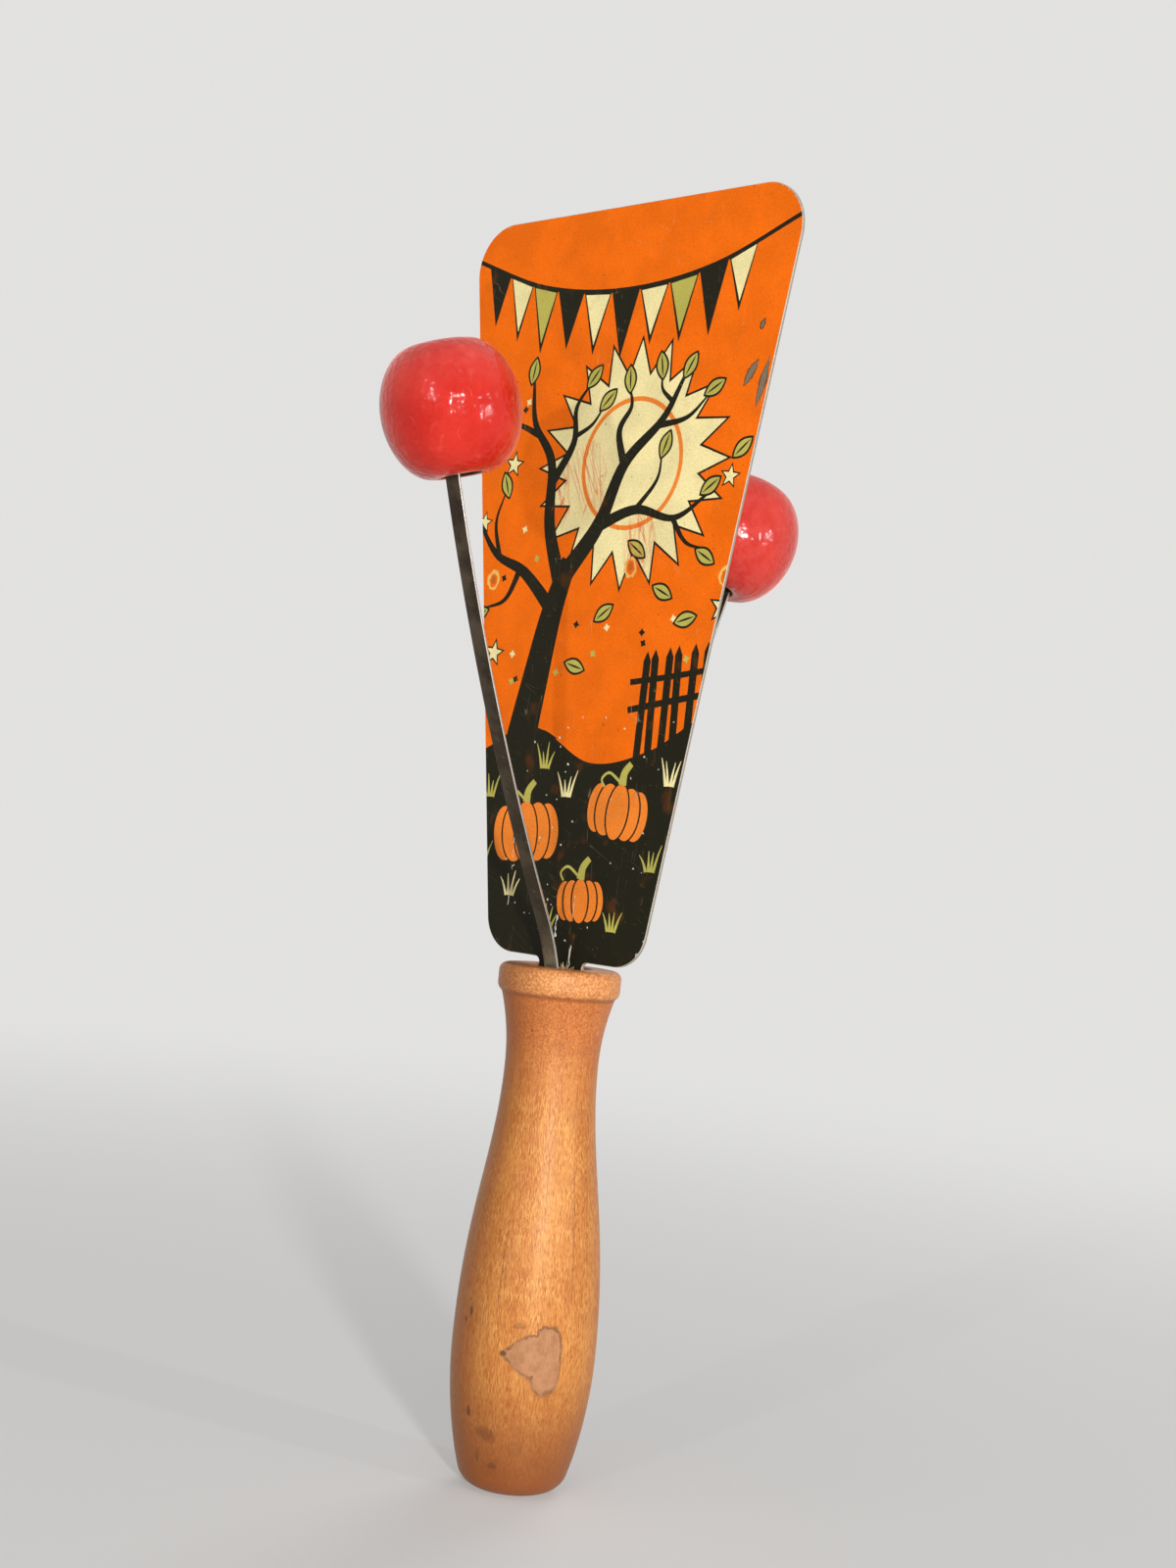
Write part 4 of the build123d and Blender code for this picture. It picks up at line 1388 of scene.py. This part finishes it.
# %% Balls
BALL_HALF_LONG, BALL_RADIUS, BALL_FLAT, BORE, BORE_EDGE = 10.3, 11.05, 4.3, 3.2, 0.4
FULLNESS = 0.53
full_end = (BALL_FLAT + FULLNESS * (BALL_RADIUS - BALL_FLAT), -BALL_HALF_LONG)
full_side = (BALL_RADIUS, -FULLNESS * BALL_HALF_LONG)
skin_low = curve_points([(BALL_FLAT, -BALL_HALF_LONG), full_end, full_side, (BALL_RADIUS, 0)], steps=36)
bore_low = rounded([(BORE, 0), (BORE, -BALL_HALF_LONG), skin_low[0]], [0, BORE_EDGE, 0], steps=6)
lower = bore_low[:-1] + skin_low
ball_outline = lower + [Vector((p.x, -p.y)) for p in reversed(lower[:-1])]
points = [(p.x, 0, p.y) for p in ball_outline]
for name, centre, upwards, seed in (
    ("front", (0, -37.09, 171.75), (-0.1305, -0.2483, 0.9597), 5.0),
    ("rear", (0, 34.47, 163.69), (0.0785, 0.3399, 0.9372), 4.0),
):
    outline_mesh = polyline(name + "_ball_outline", points)
    sizes = {"Facets": 120, "Unevenness": 0.06 * MM, "Seed": seed}
    ball = run_tree(name + "_red_ball", outline_mesh, lathe, Finish=red_enamel, **sizes)
    z_axis = Vector(upwards).normalized()
    x_axis = Vector((0, 1, 0)).cross(z_axis).normalized()
    y_axis = z_axis.cross(x_axis)
    turned = Matrix((x_axis, y_axis, z_axis)).transposed().to_4x4()
    ball.data.transform(Matrix.Translation(Vector(centre) * MM) @ turned)
    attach(ball, name + "_clapper")
    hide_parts(name + "_ball")
    print(name, "ball has", len(ball.data.polygons), "faces")

# %% [markdown]
# Pegs and wedges are split from bare wood, and a nail pins the tang. Their solids are right as they are, so
# they keep their meshes and only get a finish.

# %% Bare wood and nail steel
raw_wood, tree, shader, place = start_finish("raw_wood")
fibres = effect(tree, streaks, place, Across=4.0, Along=0.25, Detail=4.0)
grubby = effect(tree, specks, place, Size=1.5, Share=0.25, Softness=0.15)
wood = mix_colour(tree, ramp(tree, fibres, 0.35, 0.66), rgb(0.33, 0.19, 0.09), rgb(0.70, 0.52, 0.32))
wood = stain(tree, wood, grubby, 0.45, rgb(0.20, 0.11, 0.055))
wire(tree, shader, {"Base Color": wood, "Roughness": ramp(tree, fibres, 0.3, 0.7, 0.85, 0.68)})
raise_surface(tree, shader, fibres, depth=0.08)

nail_steel, tree, shader, place = start_finish("nail_steel")
dull = noise(tree, place, scale=1.6, detail=4.0)
rust = effect(tree, specks, place, Size=0.8, Share=0.22, Softness=0.08)
nail = mix_colour(tree, ramp(tree, dull, 0.35, 0.65), rgb(0.20, 0.185, 0.17), rgb(0.36, 0.34, 0.32))
nail = stain(tree, nail, rust, 0.7, rgb(0.20, 0.085, 0.03))
wire(tree, shader, {
    "Base Color": nail,
    "Metallic": minus(tree, 0.9, times(tree, rust, 0.7)),
    "Roughness": ramp(tree, dull, 0.3, 0.7, 0.35, 0.5),
})
raise_surface(tree, shader, plus(tree, dull, rust), depth=0.03)

for node, finish in (
    ("front_wedge", raw_wood),
    ("rear_wedge", raw_wood),
    ("front_ball_peg", raw_wood),
    ("rear_ball_peg", raw_wood),
    ("tang_brad", nail_steel),
):
    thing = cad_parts[node]
    if not thing.material_slots:
        thing.data.materials.append(finish)
    for slot in thing.material_slots:
        slot.material = finish
print("finished the wedges, pegs and nail")

# %% [markdown]
# Driving the wedges tore splinters out of the mouth, which stand beside the front spring. A geometry tree
# scatters them over a small patch on top of the wedge: one shard, many copies, each with its own lean and
# length. Placed by hand they would take longer and look more even.

# %% Geometry nodes: splinters
inputs = [
    ("Patch", GEOMETRY, None),
    ("Number per square metre", NUMBER, 2.8e6),
    ("Length", NUMBER, 2.2 * MM),
    ("Width", NUMBER, 0.24 * MM),
    ("Tip", NUMBER, 0.04 * MM),
    ("Seed", WHOLE_NUMBER, 3),
    FINISH,
]
scatter, given = new_tree("GeometryNodeTree", "splinters_on_a_patch", inputs, ("Splinters", GEOMETRY))
feet = add(
    scatter,
    "GeometryNodeDistributePointsOnFaces",
    {"distribute_method": "RANDOM"},
    {"Mesh": given["Patch"], "Density": given["Number per square metre"], "Seed": given["Seed"]},
).outputs["Points"]
radii = {"Radius Top": given["Tip"], "Radius Bottom": given["Width"]}
inputs = {"Vertices": 5, "Depth": given["Length"], **radii}
shard = add(scatter, "GeometryNodeMeshCone", inputs=inputs).outputs["Mesh"]


def any_between(low, high):
    inputs = {0: low, 1: high, "Seed": given["Seed"]}
    return add(scatter, "FunctionNodeRandomValue", {"data_type": "FLOAT_VECTOR"}, inputs).outputs[0]


lean = any_between((-0.3, -0.6, 0.0), (0.6, 0.6, 6.28))
stretch = any_between((0.5, 0.3, 0.5), (1.3, 0.7, 1.0))
inputs = {"Points": feet, "Instance": shard, "Rotation": lean, "Scale": stretch}
stood = add(scatter, "GeometryNodeInstanceOnPoints", inputs=inputs).outputs[0]
end_tree(scatter, stood, given["Finish"], "Splinters")
print("splinter tree has", len(scatter.nodes), "nodes")

# %% Splinters in the mouth
WEDGE_TOP = 85.15
patch = bpy.data.meshes.new("splinter_patch")
corners = [(1.8, -4.3), (3.5, -3.3), (4.4, -1.1), (1.8, -1.1)]
patch.from_pydata([Vector((x, y, WEDGE_TOP)) * MM for x, y in corners], [], [[0, 1, 2, 3]])
splinters = run_tree("mouth_splinters", patch, scatter, Finish=raw_wood)
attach(splinters, "handle_and_plate")
print("splinters:", len(splinters.data.polygons), "faces")
